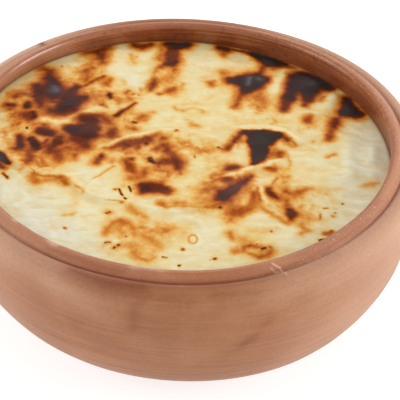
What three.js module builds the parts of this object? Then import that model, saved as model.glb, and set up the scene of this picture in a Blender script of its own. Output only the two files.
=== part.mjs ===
import * as THREE from 'three';

// A rice pudding baked in a hand-thrown clay bowl. Millimetres, +Z up.
// The origin is the middle of the flat foot, and the bowl stands on z = 0.
// The pudding fills the bowl to just under the lip, under a wrinkled and blistered skin.

// Bowl, outside
const BOWL_RADIUS = 66;           // greatest radius, just under the shoulder
const BOWL_HEIGHT = 48.8;         // foot to the top of the lip
const FOOT_RADIUS = 32.2;
const CURVE_POWER = 2.43;         // 2 draws the walls as ellipses, more draws them squarer
const SHOULDER_DROP = 5.1;        // lip top down to the greatest radius
const SHOULDER_ROUND = 3.4;
const SHOULDER_TURN = 92;         // degrees that the shoulder's arc runs up and over

// Lip, with the groove that is cut between it and the shoulder
const LIP_RADIUS = 58.9;          // crest of the lip
const LIP_INNER_ROUND = 1.3;
const LIP_OUTER_ROUND = 1.2;
const LIP_OUTER_TURN = 45;        // degrees of the lip's outer arc, above the slope to the groove
const GROOVE_RADIUS = 61.6;
const GROOVE_DROP = 2.1;          // lip top down to the bottom of the groove

// Bowl, inside
const NECK_RADIUS = 58.35;        // upright stretch of the wall, which the pudding's edge meets
const NECK_TOP = 44.5;
const NECK_BOTTOM = 36;
const FLOOR_RADIUS = 26;
const FLOOR_HEIGHT = 6.5;

// The potter's hand: the bowl is slightly oval, and its rim rises towards +X and falls towards +Y
const OVAL = -0.0226;             // share of the radius, two swells in a turn
const TRILOBE = 0.0063;           // share of the radius, three swells in a turn
const RIM_RISE_X = 0.030;         // millimetres up for each millimetre towards +X
const RIM_RISE_Y = -0.006;
const RISE_FROM = 30;             // the rise starts at this height and is full at RISE_TO
const RISE_TO = 46;

// Pudding
const GAP = 0.35;                 // air between the pudding and the bowl
const PUDDING_LEVEL = 42;
const SKIN_HELD = 5;              // the skin's relief dies away over this width at the wall
const SKIN_CREST = 2.1;           // wrinkles level off below this height over the level
const CROWN = 0.4;

// How finely the shapes are divided
const BOWL_TURN_STEPS = 72;
const PUDDING_TURN_STEPS = 96;
const SKIN_RINGS = 35;
const WALL_STEPS = 9;
const ARC_STEPS = 4;
const SAME_HEIGHT = 1e-3;

// Folds of the skin, drawn from left to right. Each runs from one point to the other in a bow,
// and falls away over its own widths on the front side (-Y) and on the back side (+Y).
const FOLDS = [
  { from: [-22, 0.5], to: [2, 9], bow: 2.6, height: 1.5, front: 4.5, back: 1.6 },
  { from: [-2, 9.3], to: [13, 3], bow: 1.6, height: 0.8, front: 3.5, back: 1.6 },
  { from: [12, 2], to: [17, 11.6], bow: 0.8, height: 1.1, front: 2.8, back: 1.6 },
  { from: [15, 11.4], to: [30, 10.6], bow: 0.9, height: 1.5, front: 6, back: 1.6 },
  { from: [28, 11.2], to: [34, 4.6], bow: 0.8, height: 0.8, front: 3, back: 1.8 },
  { from: [9, -11.5], to: [29, -1.5], bow: -0.6, height: 1.0, front: 2.4, back: 1.6 },
  { from: [7, -24.5], to: [20, -9], bow: 1.2, height: 0.9, front: 2.6, back: 2.2 },
  { from: [-8, -23.2], to: [12, -24.4], bow: -0.8, height: 0.9, front: 1.6, back: 5 },
  { from: [20.5, -12], to: [22, -22.5], bow: -0.6, height: 0.7, front: 1.6, back: 2.4 },
  { from: [21, -21.5], to: [30, -30], bow: 0.8, height: 0.7, front: 2.4, back: 1.6 },
  { from: [-47, -3.5], to: [-38, -11.5], bow: -0.9, height: 0.8, front: 1.6, back: 3.5 },
  { from: [-40, -11.2], to: [-26, -18], bow: 1.8, height: 0.9, front: 2.2, back: 2.2 },
  { from: [-28, -17.5], to: [-12, -23.5], bow: -1.2, height: 0.7, front: 1.8, back: 2.6 },
  { from: [-14, -23], to: [2, -27.5], bow: -1.0, height: 0.7, front: 1.8, back: 3.2 },
  { from: [-26, -14.5], to: [-17, -5.5], bow: 0.5, height: 0.6, front: 1.6, back: 2 },
  { from: [-19, 15.5], to: [-12, 24.5], bow: -0.7, height: 0.9, front: 1.6, back: 2.6 },
  { from: [-28, 34], to: [-20, 38], bow: 0.5, height: 0.7, front: 2.2, back: 1.6 },
  { from: [-2, 21], to: [8, 20], bow: 1.2, height: 0.5, front: 2, back: 1.6 },
  { from: [-12, -15], to: [0, -17], bow: 0.8, height: 0.8, front: 2, back: 2 },
  { from: [22, -15], to: [27, -19.5], bow: -0.6, height: 0.7, front: 1.6, back: 1.8 },
  { from: [27, -17], to: [36, -15.5], bow: 1.6, height: 0.7, front: 2.2, back: 1.6 },
  { from: [36, -11.5], to: [54, -9], bow: 1.6, height: 0.5, front: 3.5, back: 2.4 },
];

// Pleats of the skin that run in from the wall, drawn from front to back
const PLEATS = [
  { from: [-21, 33], to: [-20, 54], bow: 0.8, height: 0.6, width: 2.6 },
  { from: [-9.5, 29], to: [-6, 54], bow: -0.8, height: 0.8, width: 2.0 },
  { from: [-0.5, 38], to: [0, 54], bow: 0.5, height: 0.6, width: 2.2 },
  { from: [10, 38], to: [9.5, 54], bow: -0.6, height: 0.5, width: 2.4 },
  { from: [22.5, 40], to: [19, 52], bow: -1.5, height: 0.6, width: 2.0 },
  { from: [28, 24], to: [31, 41], bow: -1.0, height: 0.8, width: 2.2 },
  { from: [39, 22], to: [45, 32], bow: -1.2, height: 0.8, width: 2.2 },
  { from: [47, -14], to: [48, 11], bow: 1.2, height: 0.5, width: 2.2 },
  { from: [51.5, -5], to: [55, 8], bow: -0.6, height: 0.4, width: 1.8 },
];

// Blisters, which stand up where the skin scorched
const BLISTERS = [
  { at: [-37, 30], reach: 5, height: 1.0 },
  { at: [-32, 22], reach: 5, height: 1.0 },
  { at: [-26, 16], reach: 3.5, height: 0.8 },
  { at: [-28, 9], reach: 5, height: 1.0 },
  { at: [-42, 17], reach: 2.6, height: 0.8 },
  { at: [-38, 8], reach: 2.8, height: 0.7 },
  { at: [-44, 22], reach: 2.2, height: 0.6 },
  { at: [-40, 3.5], reach: 2.4, height: 0.6 },
  { at: [-33.5, 4], reach: 2.4, height: 0.6 },
  { at: [-25, 50], reach: 4, height: 0.6 },
  { at: [-2, 50], reach: 4, height: 0.7 },
  { at: [20, 37], reach: 5, height: 1.1 },
  { at: [26, 47.5], reach: 4, height: 0.8 },
  { at: [38, 36], reach: 6, height: 1.1 },
  { at: [48, 22.5], reach: 4, height: 0.9 },
  { at: [43.5, 15], reach: 2.4, height: 0.5 },
  { at: [36, 17.5], reach: 2.2, height: 0.5 },
  { at: [22, 4], reach: 4.5, height: 0.6 },
  { at: [-22, -3], reach: 2, height: 0.5 },
  { at: [-13, -6], reach: 2.6, height: 0.6 },
  { at: [-2, -4], reach: 3.4, height: 0.6 },
  { at: [14, -6.5], reach: 2, height: 0.5 },
  { at: [25, -6.5], reach: 1.8, height: 0.4 },
  { at: [30, -27], reach: 2.2, height: 0.6 },
  { at: [-15, -34], reach: 4.5, height: 0.5 },
  { at: [-2, -35], reach: 5, height: 0.4 },
  { at: [21, -41.5], reach: 3.6, height: 0.7 },
  { at: [3.8, -38], reach: 1.8, height: 0.4 },
];

// Long soft swells of the whole surface: height, steps across X and Y for each wave, and start
const SWELLS = [
  { height: 0.22, acrossX: 1 / 38, acrossY: 1 / 90, start: 0.08 },
  { height: 0.18, acrossX: 1 / 70, acrossY: -1 / 27, start: 0.33 },
  { height: 0.12, acrossX: 1 / 17, acrossY: 1 / 21, start: 0.19 },
];

const RIM_WIDEST = BOWL_HEIGHT - SHOULDER_DROP;
const PUDDING_RADIUS = NECK_RADIUS - GAP;

// Points of an arc about (r, z), from one angle to another in degrees, with 0 pointing outwards
function arc(r, z, radius, fromDeg, toDeg, steps) {
  return Array.from({ length: steps + 1 }, (_, i) => {
    const angle = THREE.MathUtils.degToRad(THREE.MathUtils.lerp(fromDeg, toDeg, i / steps));
    return new THREE.Vector2(r + radius * Math.cos(angle), z + radius * Math.sin(angle));
  });
}

// Points of a wall that rises from a flat foot and turns upright, from the foot upwards
function wall(footRadius, footHeight, topRadius, topHeight, steps) {
  return Array.from({ length: steps + 1 }, (_, i) => {
    const angle = (Math.PI / 2) * (1 - i / steps);
    const out = Math.max(Math.cos(angle), 0) ** (2 / CURVE_POWER);
    const down = Math.sin(angle) ** (2 / CURVE_POWER);
    return new THREE.Vector2(
      THREE.MathUtils.lerp(footRadius, topRadius, out),
      THREE.MathUtils.lerp(topHeight, footHeight, down),
    );
  });
}

// The outline is turned about +Z
function turned(points, steps) {
  return new THREE.LatheGeometry(points, steps).rotateX(Math.PI / 2);
}

function reshape(geometry, move) {
  const position = geometry.attributes.position;
  const point = new THREE.Vector3();
  for (let i = 0; i < position.count; i += 1) {
    point.fromBufferAttribute(position, i);
    move(point);
    position.setXYZ(i, point.x, point.y, point.z);
  }
  geometry.computeVertexNormals();
  return geometry;
}

// Everything round is slightly out of round, by the same share of its radius
function makeOval(point) {
  const turn = Math.atan2(point.y, point.x);
  const share = 1 + OVAL * Math.sin(2 * turn) + TRILOBE * Math.sin(3 * turn);
  point.x *= share;
  point.y *= share;
}

function raiseRim(point) {
  const rise = RIM_RISE_X * point.x + RIM_RISE_Y * point.y;
  point.z += rise * THREE.MathUtils.smoothstep(point.z, RISE_FROM, RISE_TO);
}

// A rounded ridge over the chord of a bowed line, which dies away at both ends
function ridge(x, y, { from, to, bow, height }, widthOnLeft, widthOnRight) {
  const chordX = to[0] - from[0];
  const chordY = to[1] - from[1];
  const length = Math.hypot(chordX, chordY);
  const reach = ((x - from[0]) * chordX + (y - from[1]) * chordY) / length;
  const along = THREE.MathUtils.clamp(reach / length, 0, 1);
  const pastEnd = reach - along * length;
  const leftOfChord = ((y - from[1]) * chordX - (x - from[0]) * chordY) / length;
  const aside = leftOfChord - 4 * bow * along * (1 - along);
  const width = aside > 0 ? widthOnLeft : widthOnRight;
  const strength = 1 - (2 * along - 1) ** 4;
  return height * strength * Math.exp(-(aside ** 2 + pastEnd ** 2) / width ** 2);
}

function blister(x, y, { at, reach, height }) {
  const distance = Math.hypot(x - at[0], y - at[1]) / reach;
  return height * Math.max(1 - distance ** 2, 0) ** 2;
}

function swell(x, y, { height, acrossX, acrossY, start }) {
  return height * Math.sin(2 * Math.PI * (x * acrossX + y * acrossY + start));
}

const total = (values) => values.reduce((sum, value) => sum + value, 0);

// Height of the skin over the pudding's level, where inward is the distance from the wall
function skinRelief(x, y, inward) {
  const free = THREE.MathUtils.smoothstep(inward, 0, SKIN_HELD);
  const crown = CROWN * (1 - (1 - inward / PUDDING_RADIUS) ** 2);
  const folds = total(FOLDS.map((fold) => ridge(x, y, fold, fold.back, fold.front)));
  const pleats = total(PLEATS.map((pleat) => ridge(x, y, pleat, pleat.width, pleat.width)));
  const blisters = total(BLISTERS.map((one) => blister(x, y, one)));
  const swells = total(SWELLS.map((one) => swell(x, y, one)));
  const height = free * (crown + folds + pleats + blisters + swells);
  return SKIN_CREST * Math.tanh(height / SKIN_CREST);
}

// The bowl's outline goes out along the foot, up the outside, over the lip and down inside
function bowlOutline() {
  const lipOuter = arc(
    LIP_RADIUS, BOWL_HEIGHT - LIP_OUTER_ROUND, LIP_OUTER_ROUND,
    90 - LIP_OUTER_TURN, 90, ARC_STEPS,
  );
  const lipInner = arc(
    LIP_RADIUS, BOWL_HEIGHT - LIP_INNER_ROUND, LIP_INNER_ROUND,
    90, 180, ARC_STEPS,
  );
  const shoulder = arc(
    BOWL_RADIUS - SHOULDER_ROUND, RIM_WIDEST, SHOULDER_ROUND,
    0, SHOULDER_TURN, ARC_STEPS + 2,
  );
  const inside = wall(FLOOR_RADIUS, FLOOR_HEIGHT, NECK_RADIUS, NECK_BOTTOM, WALL_STEPS);
  return [
    new THREE.Vector2(0, 0),
    ...wall(FOOT_RADIUS, 0, BOWL_RADIUS, RIM_WIDEST, WALL_STEPS),
    ...shoulder.slice(1),
    new THREE.Vector2(GROOVE_RADIUS, BOWL_HEIGHT - GROOVE_DROP),
    ...lipOuter,
    ...lipInner.slice(1),
    new THREE.Vector2(NECK_RADIUS, NECK_TOP),
    ...inside.reverse(),
    new THREE.Vector2(0, FLOOR_HEIGHT),
  ];
}

// The pudding's outline follows the bowl's inside, a gap away, and closes over the top
function puddingOutline() {
  const side = wall(
    FLOOR_RADIUS - GAP, FLOOR_HEIGHT + GAP,
    PUDDING_RADIUS, NECK_BOTTOM, WALL_STEPS,
  );
  const skin = Array.from({ length: SKIN_RINGS + 1 }, (_, i) =>
    new THREE.Vector2(PUDDING_RADIUS * (1 - i / SKIN_RINGS), PUDDING_LEVEL));
  return [new THREE.Vector2(0, FLOOR_HEIGHT + GAP), ...side, ...skin];
}

function makeBowl() {
  const geometry = reshape(turned(bowlOutline(), BOWL_TURN_STEPS), (point) => {
    raiseRim(point);
    makeOval(point);
  });
  const clay = new THREE.MeshStandardMaterial({ color: 0xb47f60, roughness: 0.75, metalness: 0 });
  const bowl = new THREE.Mesh(geometry, clay);
  bowl.name = 'clay_bowl';
  return bowl;
}

function makePudding() {
  const geometry = reshape(turned(puddingOutline(), PUDDING_TURN_STEPS), (point) => {
    const onSkin = Math.abs(point.z - PUDDING_LEVEL) < SAME_HEIGHT;
    const inward = PUDDING_RADIUS - Math.hypot(point.x, point.y);
    makeOval(point);
    point.z += onSkin ? skinRelief(point.x, point.y, inward) : 0;
  });
  const milk = new THREE.MeshStandardMaterial({ color: 0xe6d6aa, roughness: 0.45, metalness: 0 });
  const pudding = new THREE.Mesh(geometry, milk);
  pudding.name = 'rice_pudding';
  return pudding;
}

const group = new THREE.Group();
group.add(makeBowl(), makePudding());

export default group;
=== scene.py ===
import math

import bpy
import numpy as np
from mathutils import Euler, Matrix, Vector


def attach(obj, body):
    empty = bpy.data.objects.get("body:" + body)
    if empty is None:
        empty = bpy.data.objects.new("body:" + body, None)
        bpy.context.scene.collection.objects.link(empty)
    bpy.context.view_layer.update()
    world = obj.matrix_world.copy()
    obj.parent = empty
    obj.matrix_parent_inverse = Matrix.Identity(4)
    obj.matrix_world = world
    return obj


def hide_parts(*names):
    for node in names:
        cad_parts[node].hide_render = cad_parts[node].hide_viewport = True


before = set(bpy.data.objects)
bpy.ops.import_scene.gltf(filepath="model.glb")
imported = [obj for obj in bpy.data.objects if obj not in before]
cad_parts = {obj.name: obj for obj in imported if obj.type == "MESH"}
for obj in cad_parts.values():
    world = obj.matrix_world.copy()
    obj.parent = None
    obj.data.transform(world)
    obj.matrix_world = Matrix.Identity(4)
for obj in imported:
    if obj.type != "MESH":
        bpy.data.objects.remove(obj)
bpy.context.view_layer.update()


# ---------------------------------------------------------------------------------------------
# Studio: a white sweep under large soft lights, seen from above the front of the bowl.
# The lens is long, so that the bowl keeps its true proportions.

CAMERA_PLACE = (0.0, -0.3775, 0.3152)
CAMERA_AIM = (0.0059, 0.0, 0.0258)
CAMERA_ROLL = math.radians(1.74)
CAMERA_LENS = 151.4
CAMERA_SENSOR = 36
FLOOR_SIDE = 6.0
FLOOR_WHITE = (0.42, 0.42, 0.42, 1)
FLOOR_GLOW = 0.74
ROOM_LIGHT = 0.64
WHITE = (1, 1, 1, 1)

# Softboxes: name, middle, width, height, watts
SOFTBOXES = (
    ("softbox_back", (0.05, 0.75, 0.75), 0.9, 0.5, 3.2),
    ("softbox_right", (0.85, -0.15, 0.35), 0.5, 0.5, 5.0),
    ("softbox_left", (-0.85, -0.05, 0.35), 0.5, 0.5, 3.5),
)
SOFTBOX_AIM = (0, 0, 0.03)


def colour(red, green, blue):
    """A display colour from 0 to 255 as the linear colour that shaders take, with full alpha."""
    shown = np.array([red, green, blue]) / 255
    linear = np.where(shown <= 0.04045, shown / 12.92, ((shown + 0.055) / 1.055) ** 2.4)
    return (*linear.tolist(), 1.0)


def place(tree, kind, inputs=None, **settings):
    """Adds a node to a tree, sets its settings, and sets each input or links it to a socket."""
    made = tree.nodes.new(kind)
    for name, value in settings.items():
        setattr(made, name, value)
    for name, value in (inputs or {}).items():
        if isinstance(value, bpy.types.NodeSocket):
            tree.links.new(value, made.inputs[name])
        else:
            made.inputs[name].default_value = value
    return made


def finish_of(name, **shader_values):
    """A new material with one shader wired to its output: the material, its tree and the shader."""
    material = bpy.data.materials.new(name)
    material.use_nodes = True
    tree = material.node_tree
    tree.nodes.clear()
    shader = tree.nodes.new("ShaderNodeBsdfPrincipled")
    output = tree.nodes.new("ShaderNodeOutputMaterial")
    tree.links.new(shader.outputs["BSDF"], output.inputs["Surface"])
    for socket, value in shader_values.items():
        shader.inputs[socket.replace("_", " ")].default_value = value
    return material, tree, shader


def aim(thing, place_at, look_at, roll=0.0):
    """Stands a camera or a light at one point, facing another, rolled about its own axis."""
    thing.location = place_at
    facing = (Vector(look_at) - Vector(place_at)).to_track_quat("-Z", "Y")
    thing.rotation_euler = (facing.to_matrix() @ Euler((0, 0, roll)).to_matrix()).to_euler()


def stand_camera():
    """The scene's camera: a long lens above the front of the bowl, rolled a little."""
    data = bpy.data.cameras.new("camera")
    data.lens = CAMERA_LENS
    data.sensor_width = CAMERA_SENSOR
    camera = bpy.data.objects.new("camera", data)
    bpy.context.collection.objects.link(camera)
    aim(camera, CAMERA_PLACE, CAMERA_AIM, CAMERA_ROLL)
    bpy.context.scene.camera = camera


def lay_floor():
    """A flat white square under the bowl. It glows a little, so that it shows as plain white."""
    half = FLOOR_SIDE / 2
    mesh = bpy.data.meshes.new("sweep")
    mesh.from_pydata(
        [(-half, -half, 0), (half, -half, 0), (half, half, 0), (-half, half, 0)], [], [(0, 1, 2, 3)]
    )
    floor = bpy.data.objects.new("sweep", mesh)
    bpy.context.collection.objects.link(floor)
    material, _, _ = finish_of(
        "white_sweep", Base_Color=FLOOR_WHITE, Roughness=0.9,
        Emission_Color=WHITE, Emission_Strength=FLOOR_GLOW,
    )
    mesh.materials.append(material)


def hang_softbox(name, place_at, width, height, watts):
    """A rectangular light of that size and power, facing the middle of the bowl."""
    data = bpy.data.lights.new(name, "AREA")
    data.shape = "RECTANGLE"
    data.size = width
    data.size_y = height
    data.energy = watts
    light = bpy.data.objects.new(name, data)
    bpy.context.collection.objects.link(light)
    aim(light, place_at, SOFTBOX_AIM)


def light_room():
    """White light from all sides, with the softboxes on top of it, shown without a film curve."""
    world = bpy.data.worlds.new("white_room")
    world.use_nodes = True
    background = world.node_tree.nodes["Background"]
    background.inputs["Color"].default_value = WHITE
    background.inputs["Strength"].default_value = ROOM_LIGHT
    bpy.context.scene.world = world
    bpy.context.scene.view_settings.view_transform = "Standard"
    for softbox in SOFTBOXES:
        hang_softbox(*softbox)


stand_camera()
lay_floor()
light_room()


# ---------------------------------------------------------------------------------------------
# Clay bowl: thrown on a wheel in red clay, with a groove cut under the lip, and fired without
# glaze outside. A thin clear glaze lines it and runs over the lip, where it turns the clay dark.

# Lengths are in millimetres up to mesh_piece, which makes metres of them
MM = 0.001

# The section: foot, belly, shoulder, lip, groove, neck and floor
BOWL_RADIUS = 66.0
BOWL_HEIGHT = 48.8
FOOT_RADIUS = 32.2
CURVE_POWER = 2.43
SHOULDER_DROP = 5.1
SHOULDER_ROUND = 3.4
SHOULDER_TURN = 92
RIM_WIDEST = BOWL_HEIGHT - SHOULDER_DROP
LIP_RADIUS = 58.9
LIP_INNER_ROUND = 1.3
LIP_OUTER_ROUND = 1.2
LIP_OUTER_TURN = 45
GROOVE_RADIUS = 61.6
GROOVE_DROP = 2.1
NECK_RADIUS = 58.35
NECK_TOP = 44.5
NECK_BOTTOM = 36.0
FLOOR_RADIUS = 26.0
FLOOR_HEIGHT = 6.5
BOWL_TURN_STEPS = 384

# The potter's hand: how oval and how three-sided the round is, and how far the rim rises for each
# millimetre to the right and to the back, from one height of the wall to another
OVAL = -0.0226
TRILOBE = 0.0063
RIM_RISE_X = 0.030
RIM_RISE_Y = -0.006
RISE_FROM = 30.0
RISE_TO = 46.0

# Throwing marks: how far the spiral climbs in a turn, the heights between which it sets in, and
# where the turned stretch inside the lip sets in and ends, past the lip's top
SPIRAL_PITCH = 1.3
THROWN_FROM = (2, 10)
TURNED_FROM = (0.8, 2)
TURNED_TO = (7, 9)

# Turned ledges inside the lip: depth below its top along the wall, reach, height
LIP_LEDGES = ((2.4, 0.6, 0.14), (4.0, 0.4, 0.09))

# Random waves: how fine they are along their two coordinates, middle, swing, shortest and longest
# wave, seed, how many. They are read round a small circle, so that they meet after one turn of
# the bowl. Where they are less fine along a coordinate, the pattern is drawn out that way
CIRCLE = 9.0
CLAY_SEED = 11
THROWING_RINGS = (1, 0.05, 0, 0.038, 1.1, 4.5, CLAY_SEED, 24)
RING_PATCHES = (1, 0.3, 0.6, 0.4, 8, 20, CLAY_SEED + 1, 12)
SLOW_SWELL = (1, 1, 0, 0.12, 9, 26, CLAY_SEED + 2, 18)
TURNED_LINES = (1, 0.04, 0, 0.03, 0.9, 2.6, CLAY_SEED + 9, 20)
CARAMEL_PATCHES = (3, 3, 0.85, 0.15, 4, 12, CLAY_SEED + 8, 16)
HIGHLIGHT_STREAK_WAVES = (1, 0.05, 0.55, 0.3, 0.5, 1.6, CLAY_SEED + 12, 20)
LIGHT_PAINTED_PATCHES = (1, 0.4, 0.85, 0.25, 7, 18, CLAY_SEED + 7, 16)
STAINS_MOVE_AROUND = (1, 0.4, 0, 1.5, 5, 12, CLAY_SEED + 4, 16)
STAINS_MOVE_UP = (2, 1, 0, 0.25, 4, 9, CLAY_SEED + 5, 16)
# How fine the swell is up the wall, and how far the turned lines wind down in each radian
SWELL_FINE = 0.4
TURNED_PITCH = 0.4

# Bands along the section: how far under the groove the band of painted shade lies, and both bands' half
# widths
DIRT_WIDTH = 0.42
SHADE_BAND_BELOW = 1.5
SHADE_BAND_WIDTH = 1.1

# The groove is worn clean near one turn of the bowl: share, middle and half width in degrees
DIRT_WORN = (0.7, 307, 16)

# Fades: strength, then where it begins and where it is full, in millimetres to the left, right or
# back of the middle, above the groove, or past the top of the lip towards the inside. The caramel
# ends by height, and DIRT_LESS_BACK and SANDED_RIGHT go by shares of the radius
DIRT_LESS_BACK = (0.8, 0.1, 0.5)
DIRT_LESS_LEFT = (0.5, 28, 46)
UNDER_GROOVE = (1, -15, -3)
UNDER_GROOVE_SIDES = (1, 8, 34)
CARAMEL_ENDS = (1, 42.6, 45.4)
CARAMEL_LESS_LEFT = (0.35, 15, 50)
HIGHLIGHT_STREAKS_LEFT = (1, 12, 50)
HIGHLIGHT_STREAKS_INSIDE = (1, 0.6, 2.2)
SLIP_ABOVE = (1, -0.3, 0.6)
GLAZE_INSIDE = (1, -0.6, 1.6)
DRY_RIGHT = (0.8, 16, 48)
# Painted light: paler clay towards the right, the left, the back left and the back
LIGHT_PAINTED_RIGHT = (0.55, 18, 60)
LIGHT_PAINTED_LEFT = (0.42, 24, 60)
LIGHT_PAINTED_BACK_LEFT = (0.4, 8, 44)
LIGHT_PAINTED_BACK = (1, 16, 50)
SANDED_RIGHT = (1, 0.2, 0.8)
SANDED_ABOVE = (1, -0.5, 1)
SANDED_ENDS = (1, 3, 5)

# Under the groove: painted light added to the right and to the left, and the share of the painted shade
# under the groove taken off. The slip on the lip hides this share of the painted light
LIGHT_PAINTED_UNDER_RIGHT = 0.54
LIGHT_PAINTED_UNDER_LEFT = 0.34
SHADE_BAND_LIFTED = 0.8
LIGHT_PAINTED_UNDER_SLIP = 0.65

# Marks on the clay: strength, softness, then the turn in degrees, the distance above the groove
# along the wall and the radius of each bead
DARK_STAINS = (
    (0.70, 1.4, (246, -2.0, 0.6), (254, -2.8, 1.2), (262, -2.4, 0.7)),
    (0.20, 0.9, (270, -1.3, 0.3), (292, -1.3, 0.3), (306, -1.2, 0.3)),
    (0.40, 0.8, (262.4, -5.5, 0.2), (260.6, -8, 0.4), (259.4, -12, 0.6), (258.4, -15.6, 0.4)),
    (0.28, 1.0, (288.8, -13.6, 0.7), (288, -15.2, 0.6)),
    (0.42, 1.1, (286.6, -19.4, 0.9), (285.0, -20.6, 0.8)),
    (0.22, 1.0, (267, -4.2, 0.3), (274, -5.6, 0.4)),
    (0.16, 1.8, (249, -13, 1.2), (246, -19, 1.4)),
    (0.24, 0.7, (295, -9.5, 0.3), (300, -10.4, 0.3)),
    (0.30, 0.7, (236, 1.4, 0.6), (248, 1.6, 0.8), (258, 1.4, 0.5)),
    (0.22, 0.6, (262, 4.6, 0.4), (240, 4.4, 0.5)),
    (0.95, 0.4, (130.2, -1.1, 0.6)),
    (0.70, 0.4, (113.4, 2.6, 0.6)),
    (0.50, 0.4, (98, 2.2, 0.3)),
    (0.45, 0.5, (72, 1.0, 0.4)),
    (0.40, 0.5, (55, 1.6, 0.4)),
    (0.50, 0.4, (47, 0.8, 0.3)),
    (0.45, 0.3, (288, 0.5, 0.08), (297, 1.0, 0.12), (310, 1.5, 0.15), (322, 1.6, 0.1)),
    (0.24, 1.4, (298, 2.4, 0.6), (312, 2.8, 0.9), (330, 3.2, 0.9)),
    (0.34, 0.5, (295.8, 0.5, 0.5)),
    (0.38, 0.4, (297.8, 0.4, 0.4)),
    (0.34, 0.4, (300.4, 0.6, 0.4)),
    (0.30, 0.4, (303, 0.3, 0.2), (306, 0.6, 0.3)),
    (0.30, 0.4, (314, 0.6, 0.3), (318, 0.4, 0.2)),
)
PALE_STAINS = (
    (0.62, 0.7, (262.0, 3.4, 0.5), (264.5, 4.2, 0.8), (268.5, 3.4, 0.5)),
    (0.80, 0.4, (223.2, 4.3, 0.5)),
    (0.75, 0.4, (235, 4.2, 0.6), (237.4, 3.6, 0.7)),
    (0.90, 0.5, (247.8, 5.4, 0.6)),
    (0.35, 0.3, (252, 5.0, 0.15), (258, 4.9, 0.15)),
    (0.50, 0.3, (250, 0.2, 0.15)),
    (0.50, 0.3, (271, -0.6, 0.15)),
    (0.28, 2.6, (243, -8, 2.4), (249, -11, 2.6)),
    (0.06, 3.0, (262, -22, 2.5), (276, -25, 2.0)),
    (0.12, 2.5, (300, -16, 2.0), (306, -10, 1.6)),
)

# Pale scratches across the lip: strength, half width, and both ends seen from above. They lie
# above one height only
SCRATCHES = (
    (0.62, 0.20, (23.4, -56.0), (25.4, -56.5)),
    (0.28, 0.30, (25.7, -56.9), (26.9, -58.3)),
    (0.30, 0.22, (23.1, -57.0), (23.8, -57.3)),
    (0.20, 0.24, (24.1, -57.6), (25.0, -57.4)),
)
SCRATCHES_ABOVE = 44.0
# A scratch fades out between these two shares of its half width
SCRATCH_FADE = (0.4, 1.6)


def smooth_step(value, low, high):
    """0 below low and 1 above high, with a smooth S between them."""
    share = np.clip((value - low) / (high - low), 0, 1)
    return share * share * (3 - 2 * share)


def fade(value, strength, low, high):
    """A smooth S from 0 to a strength."""
    return strength * smooth_step(value, low, high)


def bell(value, middle, half_width):
    """1 at the middle, and less on both sides as a bell curve."""
    return np.exp(-((value - middle) / half_width) ** 2)


def arc_outline(r, z, radius, start, stop, steps):
    """Points of an arc about (r, z), from one angle to another in degrees, 0 pointing outwards."""
    angle = np.radians(np.linspace(start, stop, steps + 1))
    return np.column_stack([r + radius * np.cos(angle), z + radius * np.sin(angle)])


def wall_outline(foot_radius, foot_height, top_radius, top_height, steps):
    """Points of a wall from a flat foot to its upright top: a quarter of a squared ellipse."""
    angle = np.linspace(np.pi / 2, 0, steps + 1)
    out = np.maximum(np.cos(angle), 0) ** (2 / CURVE_POWER)
    down = np.sin(angle) ** (2 / CURVE_POWER)
    return np.column_stack([
        foot_radius + (top_radius - foot_radius) * out,
        top_height + (foot_height - top_height) * down,
    ])


def straight_outline(start, stop, steps):
    """Points of a straight stretch, without its two ends."""
    share = np.linspace(0, 1, steps + 1)[1:-1, None]
    return np.array(start) * (1 - share) + np.array(stop) * share


def bowl_outline():
    """The bowl's section from the middle of the foot, up the outside, over the lip and down."""
    shoulder = arc_outline(
        BOWL_RADIUS - SHOULDER_ROUND, RIM_WIDEST, SHOULDER_ROUND, 0, SHOULDER_TURN, steps=16
    )
    lip_outer = arc_outline(
        LIP_RADIUS, BOWL_HEIGHT - LIP_OUTER_ROUND, LIP_OUTER_ROUND, 90 - LIP_OUTER_TURN, 90, steps=14
    )
    lip_inner = arc_outline(
        LIP_RADIUS, BOWL_HEIGHT - LIP_INNER_ROUND, LIP_INNER_ROUND, 90, 180, steps=10
    )
    groove = (GROOVE_RADIUS, BOWL_HEIGHT - GROOVE_DROP)
    neck = (NECK_RADIUS, NECK_TOP)
    inside = wall_outline(FLOOR_RADIUS, FLOOR_HEIGHT, NECK_RADIUS, NECK_BOTTOM, steps=12)[::-1]
    return np.vstack([
        straight_outline((0, 0), (FOOT_RADIUS, 0), steps=6),
        wall_outline(FOOT_RADIUS, 0, BOWL_RADIUS, RIM_WIDEST, steps=84),
        shoulder[1:],
        straight_outline(shoulder[-1], groove, steps=3),
        [groove],
        straight_outline(groove, lip_outer[0], steps=8),
        lip_outer,
        lip_inner[1:],
        straight_outline(lip_inner[-1], neck, steps=12),
        [neck],
        straight_outline(neck, inside[0], steps=14),
        inside,
        straight_outline(inside[-1], (0, FLOOR_HEIGHT), steps=3),
    ])


def waves(x, y, shortest, longest, seed, count=36):
    """Even random roughness: many plane waves of random heading, length and start, added up."""
    draw = np.random.default_rng(seed)
    length = np.exp(draw.uniform(np.log(shortest), np.log(longest), count))
    heading = draw.uniform(0, 2 * np.pi, count)
    start = draw.uniform(0, 2 * np.pi, count)
    total = np.zeros(np.broadcast(x, y).shape)
    for step, turn, begin in zip(2 * np.pi / length, heading, start):
        total += np.cos(step * (x * np.cos(turn) + y * np.sin(turn)) + begin)
    return total * math.sqrt(2 / count)


def uneven(x, y, fine_x, fine_y, middle, swing, *kind):
    """Random waves that swing about a middle value, as fine along x and along y as is asked."""
    return middle + swing * waves(x * fine_x, y * fine_y, *kind)


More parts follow.
